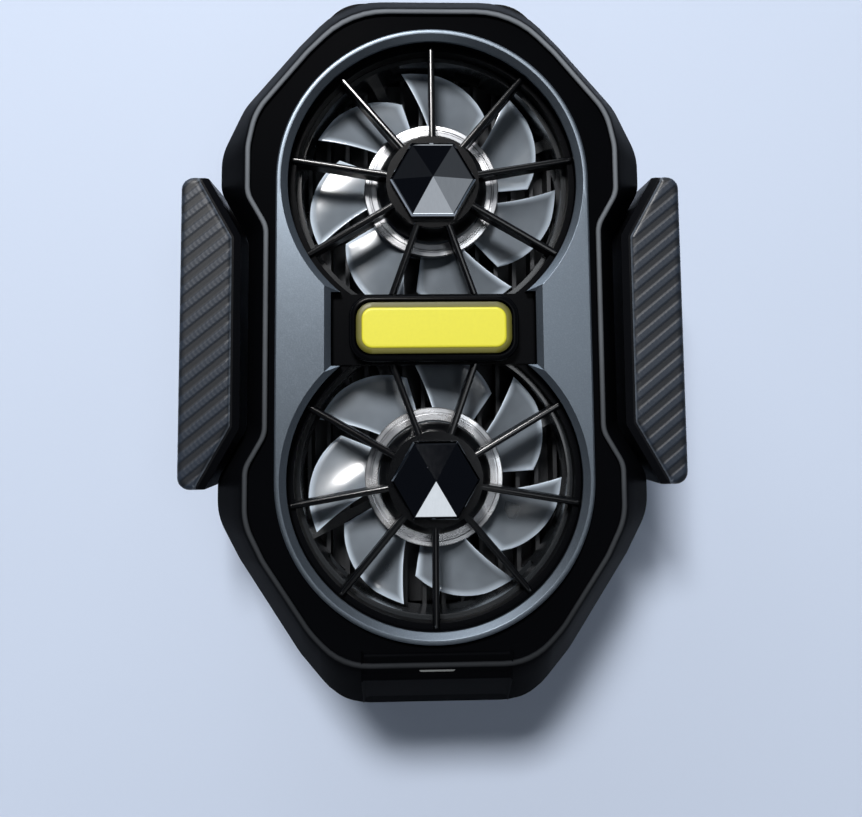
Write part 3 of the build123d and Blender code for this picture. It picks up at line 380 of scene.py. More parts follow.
def dress(node, look, rounding=0.0):
    """A merged copy of a node with its flat faces joined and its sharp edges rounded."""
    source = frame["nodes"][node]
    mesh = bpy.data.meshes.new(f"{node}_moulding")
    work = bmesh.new()
    work.from_mesh(source.data)
    bmesh.ops.remove_doubles(work, verts=work.verts, dist=NODE_MERGE_DISTANCE)
    flat = math.radians(FLAT_ANGLE)
    bmesh.ops.dissolve_limit(work, angle_limit=flat, verts=work.verts, edges=work.edges)
    if rounding:
        least = math.radians(SHARP_ANGLE)
        edges = [e for e in work.edges if len(e.link_faces) == 2 and e.calc_face_angle() > least]
        bmesh.ops.bevel(
            work, geom=edges, offset=rounding * MM, offset_type="OFFSET", segments=2, profile=0.5,
            affect="EDGES", clamp_overlap=True, material=-1,
        )
    work.to_mesh(mesh)
    work.free()
    for spare in ("custom_normal", "sharp_face"):
        if mesh.attributes.get(spare):
            mesh.attributes.remove(mesh.attributes[spare])
    shade(mesh, SMOOTH_ANGLE)
    settle(f"{node}_moulding", mesh, source["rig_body"], look, [node])


def darker(colour, share):
    """The colour with each part multiplied by share."""
    return tuple(part * share for part in colour[:3])


class Value:
    """A number that changes over a surface. Arithmetic on it adds the Math nodes."""

    def __init__(self, recipe, socket):
        self.recipe = recipe
        self.socket = socket

    def maths(self, operation, *terms):
        """One Math node over the terms."""
        node = self.recipe.node("ShaderNodeMath", {"operation": operation}, dict(enumerate(terms)))
        return Value(self.recipe, node.outputs[0])

    def __add__(self, other):
        return self.maths("ADD", self, other)

    def __sub__(self, other):
        return self.maths("SUBTRACT", self, other)

    def __rsub__(self, other):
        return self.maths("SUBTRACT", other, self)

    def __mul__(self, other):
        return self.maths("MULTIPLY", self, other)

    def __pow__(self, other):
        return self.maths("POWER", self, other)

    def clamp(self, low, high):
        """The value mapped so that low is 0 and high is 1, held between them."""
        inputs = {"Value": self, "From Min": low, "From Max": high}
        node = self.recipe.node("ShaderNodeMapRange", {"interpolation_type": "SMOOTHSTEP"}, inputs)
        return Value(self.recipe, node.outputs[0])

    __radd__ = __add__
    __rmul__ = __mul__


class Tree:
    """A node tree that nodes are added to by one method."""

    def __init__(self, tree):
        self.tree = tree

    def node(self, kind, settings=None, inputs=None):
        """Adds a node: its settings first, then the values or links of its sockets."""
        node = self.tree.nodes.new(kind)
        for name, value in (settings or {}).items():
            setattr(node, name, value)
        for name, value in (inputs or {}).items():
            value = getattr(value, "socket", value)
            if isinstance(value, bpy.types.NodeSocket):
                self.tree.links.new(value, node.inputs[name])
            else:
                node.inputs[name].default_value = value
        return node


class Recipe(Tree):
    """A finish: one principled shader and the nodes that feed it. Lengths are in millimetres."""

    def __init__(self, name, **constants):
        self.material = bpy.data.materials.new(name)
        self.material.use_nodes = True
        super().__init__(self.material.node_tree)
        self.shader = self.tree.nodes["Principled BSDF"]
        for name, value in constants.items():
            self.shader.inputs[name.replace("_", " ").title().replace("Ior", "IOR")].default_value = value

    def feed(self, socket, value):
        """Links a value or colour to a socket of the shader."""
        self.tree.links.new(getattr(value, "socket", value), self.shader.inputs[socket])

    def places(self):
        """Object coordinates in millimetres, as x, y and z."""
        source = self.node("ShaderNodeTexCoord").outputs["Object"]
        split = self.node("ShaderNodeSeparateXYZ", {}, {0: source})
        return [Value(self, output) * 1000.0 for output in split.outputs]

    def share(self):
        """The number from 0 to 1 that a piece gives to each of its points."""
        return Value(self, self.node("ShaderNodeAttribute", {"attribute_name": "share"}).outputs["Fac"])

    def noise(self, size, detail=3.0, stretch=(1.0, 1.0, 1.0)):
        """Soft noise from 0 to 1 whose grain is about size across, stretched along each axis."""
        source = self.node("ShaderNodeTexCoord").outputs["Object"]
        scale = tuple(1000.0 / (size * along) for along in stretch)
        mapped = self.node("ShaderNodeMapping", {"vector_type": "POINT"}, {"Vector": source, "Scale": scale})
        inputs = {"Vector": mapped.outputs[0], "Scale": 1.0, "Detail": detail, "Roughness": 0.5}
        return Value(self, self.node("ShaderNodeTexNoise", {"noise_dimensions": "3D"}, inputs).outputs["Fac"])

    def cells(self, size, feature="F1"):
        """Distance to the nearest of scattered points that are about size apart."""
        source = self.node("ShaderNodeTexCoord").outputs["Object"]
        inputs = {"Vector": source, "Scale": 1000.0 / size}
        return Value(self, self.node("ShaderNodeTexVoronoi", {"feature": feature}, inputs).outputs["Distance"])

    def blend(self, low, high, mask):
        """The colour low where the mask is 0, and high where it is 1."""
        low, high = (
            colour if isinstance(colour, bpy.types.NodeSocket) else (*colour[:3], 1.0) for colour in (low, high)
        )
        return self.node("ShaderNodeMix", {"data_type": "RGBA"}, {0: mask, 6: low, 7: high}).outputs[2]

    def shades(self, colour, low, high, mask):
        """The colour times low where the mask is 0, and times high where it is 1."""
        return self.blend(darker(colour, low), darker(colour, high), mask)

    def made(self, colour, roughness, height, depth):
        """The material, with a bump of depth millimetres where height goes from 0 to 1."""
        bump = self.node("ShaderNodeBump", {}, {"Strength": 1.0, "Distance": depth * MM, "Height": height})
        self.feed("Base Color", colour)
        self.feed("Roughness", roughness)
        self.feed("Normal", bump.outputs[0])
        return self.material


def moulded(name, colour, roughness, grain=0.25, depth=0.004, spread=0.1, shine=0.5):
    """Moulded plastic: a fine grain, slow changes of gloss and a faint mottle."""
    recipe = Recipe(name, specular_ior_level=shine)
    slow = recipe.noise(9.0, 2.0)
    fine = recipe.noise(grain, 4.0)
    colours = recipe.shades(colour, 0.8, 1.25, fine * 0.6 + slow * 0.4)
    return recipe.made(colours, roughness - spread / 2 + slow * spread + fine * (spread / 2), fine, depth)


def metal(name, colour, roughness, stretch=(1.0, 1.0, 1.0), grain=0.2, depth=0.002):
    """Metal with a brushed or blasted grain and slow stains."""
    recipe = Recipe(name, metallic=1.0)
    lines = recipe.noise(grain, 3.0, stretch)
    stain = recipe.noise(6.0, 3.0)
    colours = recipe.shades(colour, 0.75, 1.0, lines * 0.5 + stain * 0.5)
    return recipe.made(colours, roughness + lines * 0.12 + stain * 0.06, lines, depth)


def shell_plastic():
    """Satin black moulding with a painted highlight on the ridge: a lighter grey that is brightest at the top
    end, where the key light falls. The number is 1 on the ridge.
    """
    recipe = Recipe("shell_satin_black", specular_ior_level=0.0035)
    colour = choices("colours").shell
    slow, fine = recipe.noise(9.0, 2.0), recipe.noise(0.3, 4.0)
    _, y, _ = recipe.places()
    # Painted highlight: the ridge is blended towards light grey, more towards the top end, in place of the key
    # light's glint on the bead.
    ridge = recipe.share() * (0.1 + y.clamp(-48.0, 47.0) * 0.9)
    ground = recipe.shades(colour, 0.8, 1.25, fine * 0.6 + slow * 0.4)
    colours = recipe.blend(ground, (0.2, 0.218, 0.24), ridge * (0.75 + slow * 0.4))
    return recipe.made(colours, 0.3 + slow * 0.08 + fine * 0.04, fine, 0.003)


def grille_gloss():
    """Black moulding, glossy on the crests of the spokes and dull on the flat seat below them."""
    recipe = Recipe("grille_gloss_black", specular_ior_level=0.03, coat_roughness=0.16)
    colour = choices("colours").shell
    _, _, height = recipe.places()
    fine = recipe.noise(0.3, 4.0)
    recipe.feed("Coat Weight", ((height - SPOKE_CREST_Z) * 8.0).clamp(0.0, 1.0) * (0.85 + fine * 0.15))
    colours = recipe.shades(colour, 0.8, 1.6, fine)
    return recipe.made(colours, 0.3 + fine * 0.08, fine, 0.001)


def cap_chrome():
    """Black chrome: a near-perfect mirror with faint polishing marks."""
    recipe = Recipe("cap_black_chrome", metallic=1.0)
    marks = recipe.noise(0.4, 3.0, (1.0, 4.0, 1.0))
    colours = recipe.blend((0.5, 0.525, 0.56), (0.56, 0.585, 0.62), marks)
    return recipe.made(colours, 0.025 + marks * 0.02, marks, 0.0002)


def fascia_paint():
    """Satin metallic paint: fine flakes over a grey ground and a light orange peel."""
    recipe = Recipe("fascia_paint", metallic=0.9, coat_weight=0.08, coat_roughness=0.3)
    colour = choices("colours").fascia
    flake = recipe.cells(0.16)
    slow = recipe.noise(12.0, 2.0)
    colours = recipe.shades(colour, 0.85, 1.15, flake * 0.8 + slow * 0.2)
    return recipe.made(colours, 0.31 + flake * 0.1 + slow * 0.05, flake, 0.003)


def badge_print():
    """Matt yellow enamel with painted shade that darkens its sunk rim where it meets the bezel."""
    recipe = Recipe("badge_enamel", coat_weight=0.1, coat_roughness=0.3)
    colour = choices("colours").badge
    fine = recipe.noise(0.5, 3.0)
    ground = recipe.shades(colour, 0.93, 1.0, fine)
    # Painted shade: the sunk margin, where the number is 1, is a tenth as bright as the field.
    colours = recipe.blend(ground, darker(colour, 0.1), recipe.share())
    return recipe.made(colours, 0.42 + fine * 0.1, fine, 0.004)


def smoke_clear(name, colour, alpha):
    """Milky smoke-clear plastic: cloudy and glossy, with a painted highlight that makes it lighter along its
    rims.
    """
    recipe = Recipe(name, transmission_weight=0.2, ior=1.5, coat_weight=0.7, coat_roughness=0.14)
    rim = recipe.share() ** 1.6
    cloud = recipe.noise(6.0, 2.0)
    ground = recipe.shades(colour, 0.6, 1.15, cloud)
    recipe.feed("Alpha", (alpha + cloud * 0.12 + rim * 0.5).clamp(0.0, 1.0))
    # Painted highlight: where the number is 1, along a blade's rims, the colour is three times lighter.
    colours = recipe.blend(ground, darker(colour, 3.0), rim)
    return recipe.made(colours, 0.18 + cloud * 0.12, cloud, 0.02)


def ring_silver():
    """Bright plated ring with cloudy dark stains between clean stretches."""
    recipe = Recipe("ring_bright_silver", metallic=0.8)
    stain, marks = recipe.noise(5.0, 1.0).clamp(0.38, 0.55), recipe.noise(0.15, 2.0)
    colours = recipe.blend((0.32, 0.33, 0.35), (0.95, 0.96, 0.98), stain)
    return recipe.made(colours, 0.3 - stain * 0.08 + marks * 0.06, marks, 0.0004)


def carbon_weave():
    """Twill under a satin coat: diagonal ribs crossed by a finer thread, both sines, and a painted highlight
    along the inner edge.
    """
    recipe = Recipe("carbon_weave", coat_weight=0.2, coat_roughness=0.3, specular_ior_level=0.3)
    colour = choices("colours").carbon
    pitch = choices("sizes").twill_pitch / MM
    x, y, _ = recipe.places()
    lean = math.radians(39)
    along = y * math.cos(lean) - x * math.sin(lean)
    across = y * math.sin(lean) + x * math.cos(lean)
    rib = along.maths("SINE", along * (2 * math.pi / pitch)) * 0.5 + 0.5
    thread = along.maths("SINE", (across + rib * 0.25) * (2 * math.pi / 0.7)) * 0.5 + 0.5
    weave = (rib * 1.5 - 0.25).clamp(0.0, 1.0) * (0.9 + thread * 0.1)
    mottle = recipe.noise(0.8, 3.0)
    ground = recipe.shades(colour, 0.4, 1.9, weave * 0.85 + mottle * 0.15)
    # Painted highlight: a light grey blended in along the wing's inner edge, where the number is 1.
    highlight_mask = recipe.share() * (0.3 + mottle * 0.5)
    colours = recipe.blend(ground, (0.15, 0.175, 0.21), highlight_mask)
    return recipe.made(colours, 0.5 - rib * 0.12 + mottle * 0.1, weave * 0.9 + mottle * 0.1, 0.12)


def circuit_varnish():
    """Circuit board: dark green varnish over traces."""
    recipe = Recipe("circuit_varnish", coat_weight=0.4, coat_roughness=0.15)
    trace = recipe.cells(1.4, "DISTANCE_TO_EDGE").clamp(0.04, 0.1)
    colours = recipe.blend((0.03, 0.1, 0.05), (0.008, 0.045, 0.022), trace)
    return recipe.made(colours, 0.35 + recipe.noise(0.4) * 0.1, trace, 0.03)


def floor_finish():
    """Pale, slightly uneven sheet under the cooler."""
    recipe = Recipe("floor_sheet", specular_ior_level=0.2)
    colour = choices("colours").floor
    wave = recipe.noise(60.0, 3.0)
    colours = recipe.shades(colour, 0.97, 1.0, wave)
    return recipe.made(colours, 0.6 + wave * 0.1, recipe.noise(1.2, 3.0), 0.01)


MADE = {}


def finish(name):
    """The named finish, made when a piece first asks for it."""
    shell, blade = choices("colours").shell, choices("colours").blade
    recipes = {
        "shell": shell_plastic,
        "cover": lambda: moulded("cover_grained_black", darker(shell, 2.4), 0.5, 0.35, 0.02, shine=0.07),
        "grille": grille_gloss,
        "arm": lambda: moulded("arm_satin_black", darker(shell, 2.2), 0.36, 0.3, 0.006, shine=0.07),
        "bezel": lambda: moulded("bezel_gloss_black", shell, 0.2, 0.3, 0.001, spread=0.05, shine=0.05),
        "cap": cap_chrome,
        "fascia": fascia_paint,
        "badge": badge_print,
        "blade": lambda: smoke_clear("blade_smoke_clear", blade, 0.6),
        "duct": lambda: smoke_clear("duct_smoke", darker(blade, 0.07), 0.95),
        "carbon": carbon_weave,
        "silver": ring_silver,
        "aluminium": lambda: metal("cold_plate_aluminium", (0.78, 0.79, 0.8), 0.26, (0.3, 12.0, 1.0)),
        "fins": lambda: metal("heat_sink_aluminium", (0.05, 0.052, 0.056), 0.45, (1.0, 9.0, 1.0)),
        "ceramic": lambda: moulded("module_ceramic", (0.75, 0.74, 0.7), 0.45, grain=0.5),
        "foam": lambda: moulded("seal_foam", (0.02, 0.02, 0.02), 0.85, grain=0.6, depth=0.08),
        "circuit": circuit_varnish,
        "guide": lambda: smoke_clear("light_guide_clear", (0.16, 0.17, 0.17), 0.9),
        "socket": lambda: metal("socket_steel", (0.6, 0.61, 0.62), 0.24, grain=0.1),
        "screw": lambda: metal("screw_black_steel", (0.08, 0.08, 0.085), 0.32, grain=0.1),
        "spring": lambda: metal("spring_steel", (0.5, 0.51, 0.53), 0.25, (0.15, 1.0, 1.0), 0.35, 0.15),
        "magnet": lambda: metal("magnet_nickel", (0.16, 0.16, 0.17), 0.4),
        "shaft": lambda: metal("shaft_steel", (0.7, 0.71, 0.73), 0.14, grain=0.1),
        "brass": lambda: metal("bearing_brass", (0.62, 0.46, 0.2), 0.28),
        "stator": lambda: metal("stator_iron", (0.24, 0.15, 0.1), 0.45, (1.0, 1.0, 0.2), 0.25, 0.03),
        "rubber": lambda: moulded("pad_rubber", (0.016, 0.017, 0.018), 0.72, grain=0.2, depth=0.02),
    }
    if name not in MADE:
        MADE[name] = recipes[name]()
    return MADE[name]


def window_outline(margin):
    """Outline of both fan windows and the notch, moved out by margin: circles about the fan centres that stop
    where they meet the sides of the notch, and the corners of the notch between them."""
    radius, notch_x, notch_y = WINDOW_RADIUS + margin, NOTCH_X + margin, NOTCH_Y + margin
    stop = math.asin((FAN_Y - notch_y) / radius)
    angle = np.linspace(-math.pi / 2, stop, WINDOW_POINTS)
    arc = np.column_stack([radius * np.cos(angle), radius * np.sin(angle) - FAN_Y])
    corner = np.array([[notch_x, -notch_y], [notch_x, 0.0]])
    right = np.concatenate([arc, corner, corner[:1] * (1, -1), arc[::-1] * (1, -1)])
    return np.concatenate([right, (right * (-1, 1))[-2:0:-1]])


def track_outline(half_width):
    """Racetrack of straight sides and round ends, its points opposite those of the window outline."""
    inner = window_outline(0.0)
    middle = np.column_stack([np.zeros(len(inner)), np.copysign(FAN_Y, inner[:, 1])])
    away = inner - middle
    away /= np.linalg.norm(away, axis=1, keepdims=True)
    ends = middle + away * half_width
    sides = np.column_stack([np.copysign(half_width, inner[:, 0]), inner[:, 1]])
    return np.where((np.abs(inner[:, 1]) > FAN_Y)[:, None], ends, sides)


def onto_track(outline, half_width):
    """Each point moved straight towards the line between the fan centres, to half_width from it."""
    middle = np.column_stack([np.zeros(len(outline)), np.clip(outline[:, 1], -FAN_Y, FAN_Y)])
    away = outline - middle
    return middle + away / np.linalg.norm(away, axis=1, keepdims=True) * half_width


def turned(profile, centre_y, steps=96):
    """A closed profile of (radius, height) points turned about a fan axis, as rings."""
    angle = np.linspace(0, 2 * math.pi, steps, endpoint=False)
    profile = np.asarray(profile, float)
    x = profile[:, :1] * np.cos(angle)
    y = profile[:, :1] * np.sin(angle) + centre_y
    return np.stack([x, y, np.broadcast_to(profile[:, 1:], x.shape)], -1)


def about_fan(points, turns, centre_y):
    """Copies of a grid turned about a fan axis, one for each angle."""
    cosine, sine = np.cos(turns), np.sin(turns)
    x = np.multiply.outer(cosine, points[..., 0]) - np.multiply.outer(sine, points[..., 1])
    y = np.multiply.outer(sine, points[..., 0]) + np.multiply.outer(cosine, points[..., 1]) + centre_y
    return np.stack([x, y, np.broadcast_to(points[..., 2], x.shape)], -1)


def front_shell():
    """The raked shell: rings of the body outline that climb the flank between the parting plane and the ridge,
    go over the ridge as a half round, fall to the shelf and return underneath and down the inner wall."""
    parting = closed_outline(PARTING_WAIST, PARTING_SHOULDER, PARTING_TOP, PARTING_BOTTOM)
    ridge = closed_outline(RIDGE_WAIST, RIDGE_SHOULDER, RIDGE_TOP, RIDGE_BOTTOM)
    half = BOTTOM_RADII + (NECK_RADIUS,) * 4 + TOP_RADII
    radii = np.array(half + half[::-1])
    width = choices("sizes").ridge_width / MM

    def ring(share, amount, z):
        corners = parting + (ridge - parting) * share
        return at_height(rounded(grown(corners, amount), radii), z)

    height = RIDGE_Z - PARTING_Z
    rings = [ring(0, -FOOT_WALL, PARTING_Z), ring(0, -0.2, PARTING_Z), ring(0.02, 0, PARTING_Z + 0.02 * height)]
    rings += [ring(share, 0, PARTING_Z + share * height) for share in (0.06, 0.3, 0.6, 0.9)]
    flank = len(rings)
    turn = np.linspace(math.radians(25), math.radians(180), 9)
    bead = 0.5 * width
    rise = bead * BEAD_HEIGHT
    rings += [ring(1, -bead + bead * math.cos(a), RIDGE_Z - rise + rise * math.sin(a)) for a in turn]
    crest = len(rings)
    rings += [ring(1, -width - 0.02, SHELF_Z + 0.08), ring(1, -width - 0.05, SHELF_Z)]
    rim = at_height(onto_track(rings[-1][:, :2], FASCIA_HALF - 0.35), SHELF_Z)
    rings += [rings[-1] * 0.5 + rim * 0.5, rim, rim - (0, 0, SHELF_Z - DECK_Z)]
    deck = (DECK_Z - PARTING_Z) / height
    rings += [ring(deck, -DECK_WALL, DECK_Z)]
    # The ridge's number is 1 over the crest of the bead, where the shell finish paints a highlight.
    ridge_highlight = np.zeros(len(rings))
    ridge_highlight[flank:crest] = np.sin((turn - turn[0]) / (turn[-1] - turn[0]) * math.pi) ** 1.2
    form = Form().loop(rings, np.repeat(ridge_highlight, len(rings[0])))
    track, window, top = track_outline(FASCIA_HALF - 0.3), window_outline(0.0), SHELF_Z - 0.02
    seat = ((track, top), (window, top), (window, DECK_Z), (track, DECK_Z))
    form.loop([at_height(outline, z) for outline, z in seat])
    side = np.array(CHIN_SIDE)
    profile = rounded(side, np.array(CHIN_RADII), 4, 2)
    inset = rounded(grown(side[::-1], -CHIN_END)[::-1], 0.1, 4, 2)
    near = CHIN_X - CHIN_END
    stations = ((-CHIN_X, inset), (-near, profile), (near, profile), (CHIN_X, inset))
    return form.plug([np.column_stack([np.full(len(p), x), p]) for x, p in stations])


def fascia_plate():
    """The racetrack plate: rings between the racetrack and the window outline, with a rounded outer edge and a
    bevel that falls to the windows by three quarters of its width."""
    radius, blend = 0.3, 0.05
    bevel = choices("sizes").fascia_bevel / MM
    foot = FACE_Z - bevel * 0.75
    tracks = [(blend, SHELF_Z), (0, SHELF_Z + blend)]
    tracks += [
        (radius * (1 - math.cos(angle)), FACE_Z - radius * (1 - math.sin(angle)))
        for angle in np.radians(np.linspace(0, 90, 6))
    ]
    windows = [(bevel + 0.06, FACE_Z), (bevel, FACE_Z - 0.02), (0.06, foot + 0.05), (0, foot), (0, SHELF_Z)]
    rings = [at_height(track_outline(FASCIA_HALF - inset), z) for inset, z in tracks]
    rings += [at_height(window_outline(margin), z) for margin, z in windows]
    return Form().loop(rings)


def hub_cap(centre_y):
    """A hexagonal pyramid on a bevelled hexagonal rim: hexagons that shrink upwards, with a narrow ledge under
    the facets, to a point. The corners of the facets are sharp."""
    angle = np.radians(np.arange(6) * 60)
    corners = np.column_stack([np.cos(angle), np.sin(angle)])
    levels = (
        (0, 0, 0.2), (0, CAP_RIM - 0.35, 0.2), (0.06, CAP_RIM - 0.25, 0.1), (0.32, CAP_RIM, 0.05),
        (0.4, CAP_RIM, TIGHT), (0.48, CAP_RIM - 0.04, TIGHT), (CAP_RADIUS - 0.06, CAP_HEIGHT, TIGHT),
    )
    return Form().plug([
        at_height(rounded(corners * (CAP_RADIUS - inset), corner, 3, 3) + (0, centre_y), SHELF_Z + rise)
        for inset, rise, corner in levels
    ])


def swept(reach, station, chord, trailing, leading):
    """The distance out along the blade and the tangent of the angle there, for points at a distance of reach
    from the axis: station = reach / sqrt(1 + tangent squared), found by repeated substitution."""
    for _ in range(12):
        tangent = np.polyval(trailing, station) * (1 - chord) + np.polyval(leading, station) * chord
        station = reach / np.sqrt(1 + tangent**2)
    return station, tangent


def rotor(centre_y, first_blade):
    """Hub cup and swept blades. A blade is a grid over radius and chord: the tangent of the angle of each side
    is a quadratic through three stations, the blade drops from its leading to its trailing side and sags below
    its chord, and a circle set off the axis rounds its trailing corner."""
    thickness = choices("sizes").blade_thickness / MM
    stations = np.array([HUB_RADIUS * 0.85, (HUB_RADIUS + TIP_RADIUS) / 2, TIP_RADIUS * 1.04])
    trailing = np.polyfit(stations, TRAILING_TANGENTS, 2)
    leading = np.polyfit(stations, LEADING_TANGENTS, 2)
    chord = ((1 - np.cos(np.linspace(0, math.pi, 33))) / 2)[None, :]
    outward = np.linspace(0, 1, 30)[:, None]
    reach = TIP_RADIUS + 0 * chord
    for _ in range(20):
        _, tangent = swept(reach, TIP_RADIUS * np.ones_like(chord), chord, trailing, leading)
        angle = np.arctan(tangent)
        along = ROUND_X * np.cos(angle) + ROUND_Y * np.sin(angle)
        reach = np.minimum(
            TIP_RADIUS, along + np.sqrt(np.maximum(along**2 - ROUND_X**2 - ROUND_Y**2 + ROUND_RADIUS**2, 0.01))
        )
    root = HUB_RADIUS - 0.3
    radius = root + (reach - root) * outward
    station, tangent = swept(radius, radius, chord, trailing, leading)
    top = BLADE_TOP - BLADE_DROP * (1 - chord) - BLADE_SAG * 4 * chord * (1 - chord) + station * 0
    edge = np.clip(np.minimum(np.minimum(chord, 1 - chord) * 9.0, (reach - radius) / 1.2), 0, 1)
    rounding = 0.5 * thickness * (1 - np.sqrt(edge * (2 - edge)))
    upper = np.stack([station, station * tangent, top - rounding * 0.8], -1)
    lower = np.stack([station, station * tangent, top - thickness + rounding * 0.8], -1)
    turns = first_blade + np.arange(BLADE_COUNT) * 2 * math.pi / BLADE_COUNT
    form = Form()
    for above, below in zip(*(about_fan(side, turns, centre_y) for side in (upper, lower))):
        # The number is 1 along a blade's rims, where the blade finish paints a highlight.
        form.slab(above, below, 1 - edge)
    low, high = ROTOR_Z, BLADE_TOP
    cup = [
        (0.75, high), (0.75, high - 1.6), (1.8, high - 1.6), (1.8, high - 0.8), (9.3, high - 0.8),
        (9.4, high - 0.9), (9.4, low), (10.0, low), (10.1, low + 0.1), (10.1, high - 0.25),
        (10.03, high - 0.08), (9.85, high),
    ]
    return form.loop(turned(cup, centre_y))


def hub_ring(centre_y):
    """Flat ring with a groove turned in its face between two raised bands."""
    profile = np.array([
        (8.2, 0), (8.2, 0.3), (8.28, 0.38), (9.0, 0.4), (9.15, 0.26), (9.3, 0.26), (9.42, 0.36), (9.95, 0.34),
        (10.08, 0.2), (10.08, 0),
    ])
    return Form().loop(turned(profile + (0, BLADE_TOP), centre_y, 128))


def rounded_box(half_x, half_y, radius, levels):
    """Rings of a rounded rectangle: each level is how far the outline is drawn in, and its height."""
    corners = np.array([(half_x, -half_y), (half_x, half_y), (-half_x, half_y), (-half_x, -half_y)])
    return [at_height(rounded(grown(corners, -d), max(radius - d, 0.1), 10, 6), z) for d, z in levels]


def badge_bezel():
    """Rounded frame round the badge: up the outside, over a rounded lip and down into the recess."""
    low, high = BEZEL_Z
    lip = 0.7
    arc = np.radians(np.linspace(0, 90, 7))
    levels = [(0.05, low)] + [(lip * (1 - math.cos(a)), high - lip * (1 - math.sin(a))) for a in arc]
    levels += [(0.82, high), (0.9, high - 0.08), (1.0, high - 0.5), (1.02, high - 0.9)]
    levels += [(1.2, high - 1.2), (1.2, low)]
    return Form().loop(rounded_box(*BEZEL_HALF, BEZEL_RADIUS, levels))


def badge_plate():
    """Badge: a sunk margin, darkened by painted shade, and a raised field with a soft edge. A point's number is
    1 on the margin.
    """
    levels = (
        (0.05, 0), (0, 0.1), (0, 0.9), (0.12, 1.0), (0.74, 1.0), (0.82, 1.1), (0.96, 1.18), (1.15, 1.2),
    )
    rings = rounded_box(*BADGE_HALF, BADGE_RADIUS, [(inset, BADGE_Z + rise) for inset, rise in levels])
    return Form().plug(rings, np.repeat([1.0, 1.0, 1.0, 1.0, 0.9, 0.25, 0.0, 0.0], len(rings[0])))


def wing_skin(side):
    """Woven skin that wraps over the outer edges of a wing and stops short of its inner edges, where the weave
    finish
    paints a highlight: rings of the plan that shrink upwards. The number on a point is 1 on the inner edge."""
    mirrored = tuple((x, -y) for x, y in reversed(WING_OUTLINE))
    plan = np.array(WING_OUTLINE + mirrored)[::-1]
    radii = np.array(WING_RADII + WING_RADII[::-1])
    rings = [
        at_height(rounded(grown(plan, -inset), np.maximum(radii - inset, 0.12), 6, 24), z)
        for inset, z in WING_LEVELS
    ]
    (inner_x, inner_y), (lean_x, lean_y) = WING_OUTLINE[0], WING_LEAN
    inner_highlight = []
    for ring in rings:
        past_corner = (np.abs(ring[:, 1]) - inner_y).clip(0)
        inner_highlight.append(np.where((ring[:, 0] - inner_x) * lean_x - past_corner * lean_y < INNER_HIGHLIGHT_WIDTH, 1.0, 0.0))
    return Form().plug([ring * (side, 1, 1) for ring in rings], np.concatenate(inner_highlight))


class CoolerPiece:
    """What the operators that make pieces share."""

    bl_options = {"REGISTER", "UNDO"}


class COOLER_OT_front_shell(CoolerPiece, bpy.types.Operator):
    """Makes the front shell with its ridge, shelf and chin"""

    bl_idname = "cooler.front_shell"
    bl_label = "Front shell"

    def execute(self, context):
        build("front_shell_moulding", front_shell(), "housing", "shell", ["front_shell"])
        return {"FINISHED"}


class COOLER_OT_fascia(CoolerPiece, bpy.types.Operator):
    """Makes the painted plate round the fan windows"""

    bl_idname = "cooler.fascia"
    bl_label = "Fascia"

    def execute(self, context):
        build("fascia_painted", fascia_plate(), "housing", "fascia", ["fascia_plate"])
        return {"FINISHED"}


class COOLER_OT_grille(CoolerPiece, bpy.types.Operator):
    """Dresses the spoked grille"""

    bl_idname = "cooler.grille"
    bl_label = "Grille"

    def execute(self, context):
        dress("grille", "grille")
        return {"FINISHED"}


class COOLER_OT_hub_caps(CoolerPiece, bpy.types.Operator):
    """Makes the two faceted hub caps"""

    bl_idname = "cooler.hub_caps"
    bl_label = "Hub caps"

    def execute(self, context):
        for name, y in FANS.items():
            node = f"{name}_hub_cap"
            build(f"{node}_facets", hub_cap(y), "housing", "cap", [node], 12)
        return {"FINISHED"}


class COOLER_OT_badge(CoolerPiece, bpy.types.Operator):
    """Makes the plain badge and its bezel"""

    bl_idname = "cooler.badge"
    bl_label = "Badge"

    def execute(self, context):
        build("badge_frame", badge_bezel(), "housing", "bezel", ["badge_bezel"])
        build("badge_field", badge_plate(), "housing", "badge", ["badge_plate"])
        return {"FINISHED"}


class COOLER_OT_rotors(CoolerPiece, bpy.types.Operator):
    """Makes the bladed rotors and the bright rings on their hubs"""

    bl_idname = "cooler.rotors"
    bl_label = "Rotors"

    def execute(self, context):
        for name, y in FANS.items():
            body, blades, ring = f"{name}_fan", rotor(y, FIRST_BLADE[name]), hub_ring(y)
            build(f"{name}_rotor_blades", blades, body, "blade", [f"{name}_rotor"], 50)
            build(f"{name}_ring_turned", ring, body, "silver", [f"{name}_hub_ring"], 30)
        return {"FINISHED"}


class COOLER_OT_wings(CoolerPiece, bpy.types.Operator):
    """Dresses the clamp arms and makes their woven skins and pads"""

    bl_idname = "cooler.wings"
    bl_label = "Wings"

    def execute(self, context):
        rounding = choices("sizes").edge_rounding / MM
        for name, side in (("left", -1), ("right", 1)):
            dress(f"{name}_clamp_arm", "arm", rounding)
            skin = f"{name}_carbon_skin"
            build(f"{skin}_weave", wing_skin(side), f"{name}_arm", "carbon", [skin])
            dress(f"{name}_jaw_pad", "rubber", 0.1)
        return {"FINISHED"}


class COOLER_OT_back(CoolerPiece, bpy.types.Operator):
    """Dresses the rear cover and what shows on it"""

    bl_idname = "cooler.back"
    bl_label = "Back"

    def execute(self, context):
        rounding = choices("sizes").edge_rounding / MM
        dress("rear_cover", "cover", rounding)
        dress("cold_plate", "aluminium")
        dress("usb_socket", "socket", 0.04)
        dress("cover_screws", "screw", 0.12)
        dress("indicator_light_guide", "guide", 0.12)
        return {"FINISHED"}


class COOLER_OT_inside(CoolerPiece, bpy.types.Operator):
    """Dresses the fan frames, motors and cooling stack"""

    bl_idname = "cooler.inside"
    bl_label = "Inside"

    def execute(self, context):
        for node, slot, name in INNER_NODES:
            dress(node, name)
        return {"FINISHED"}


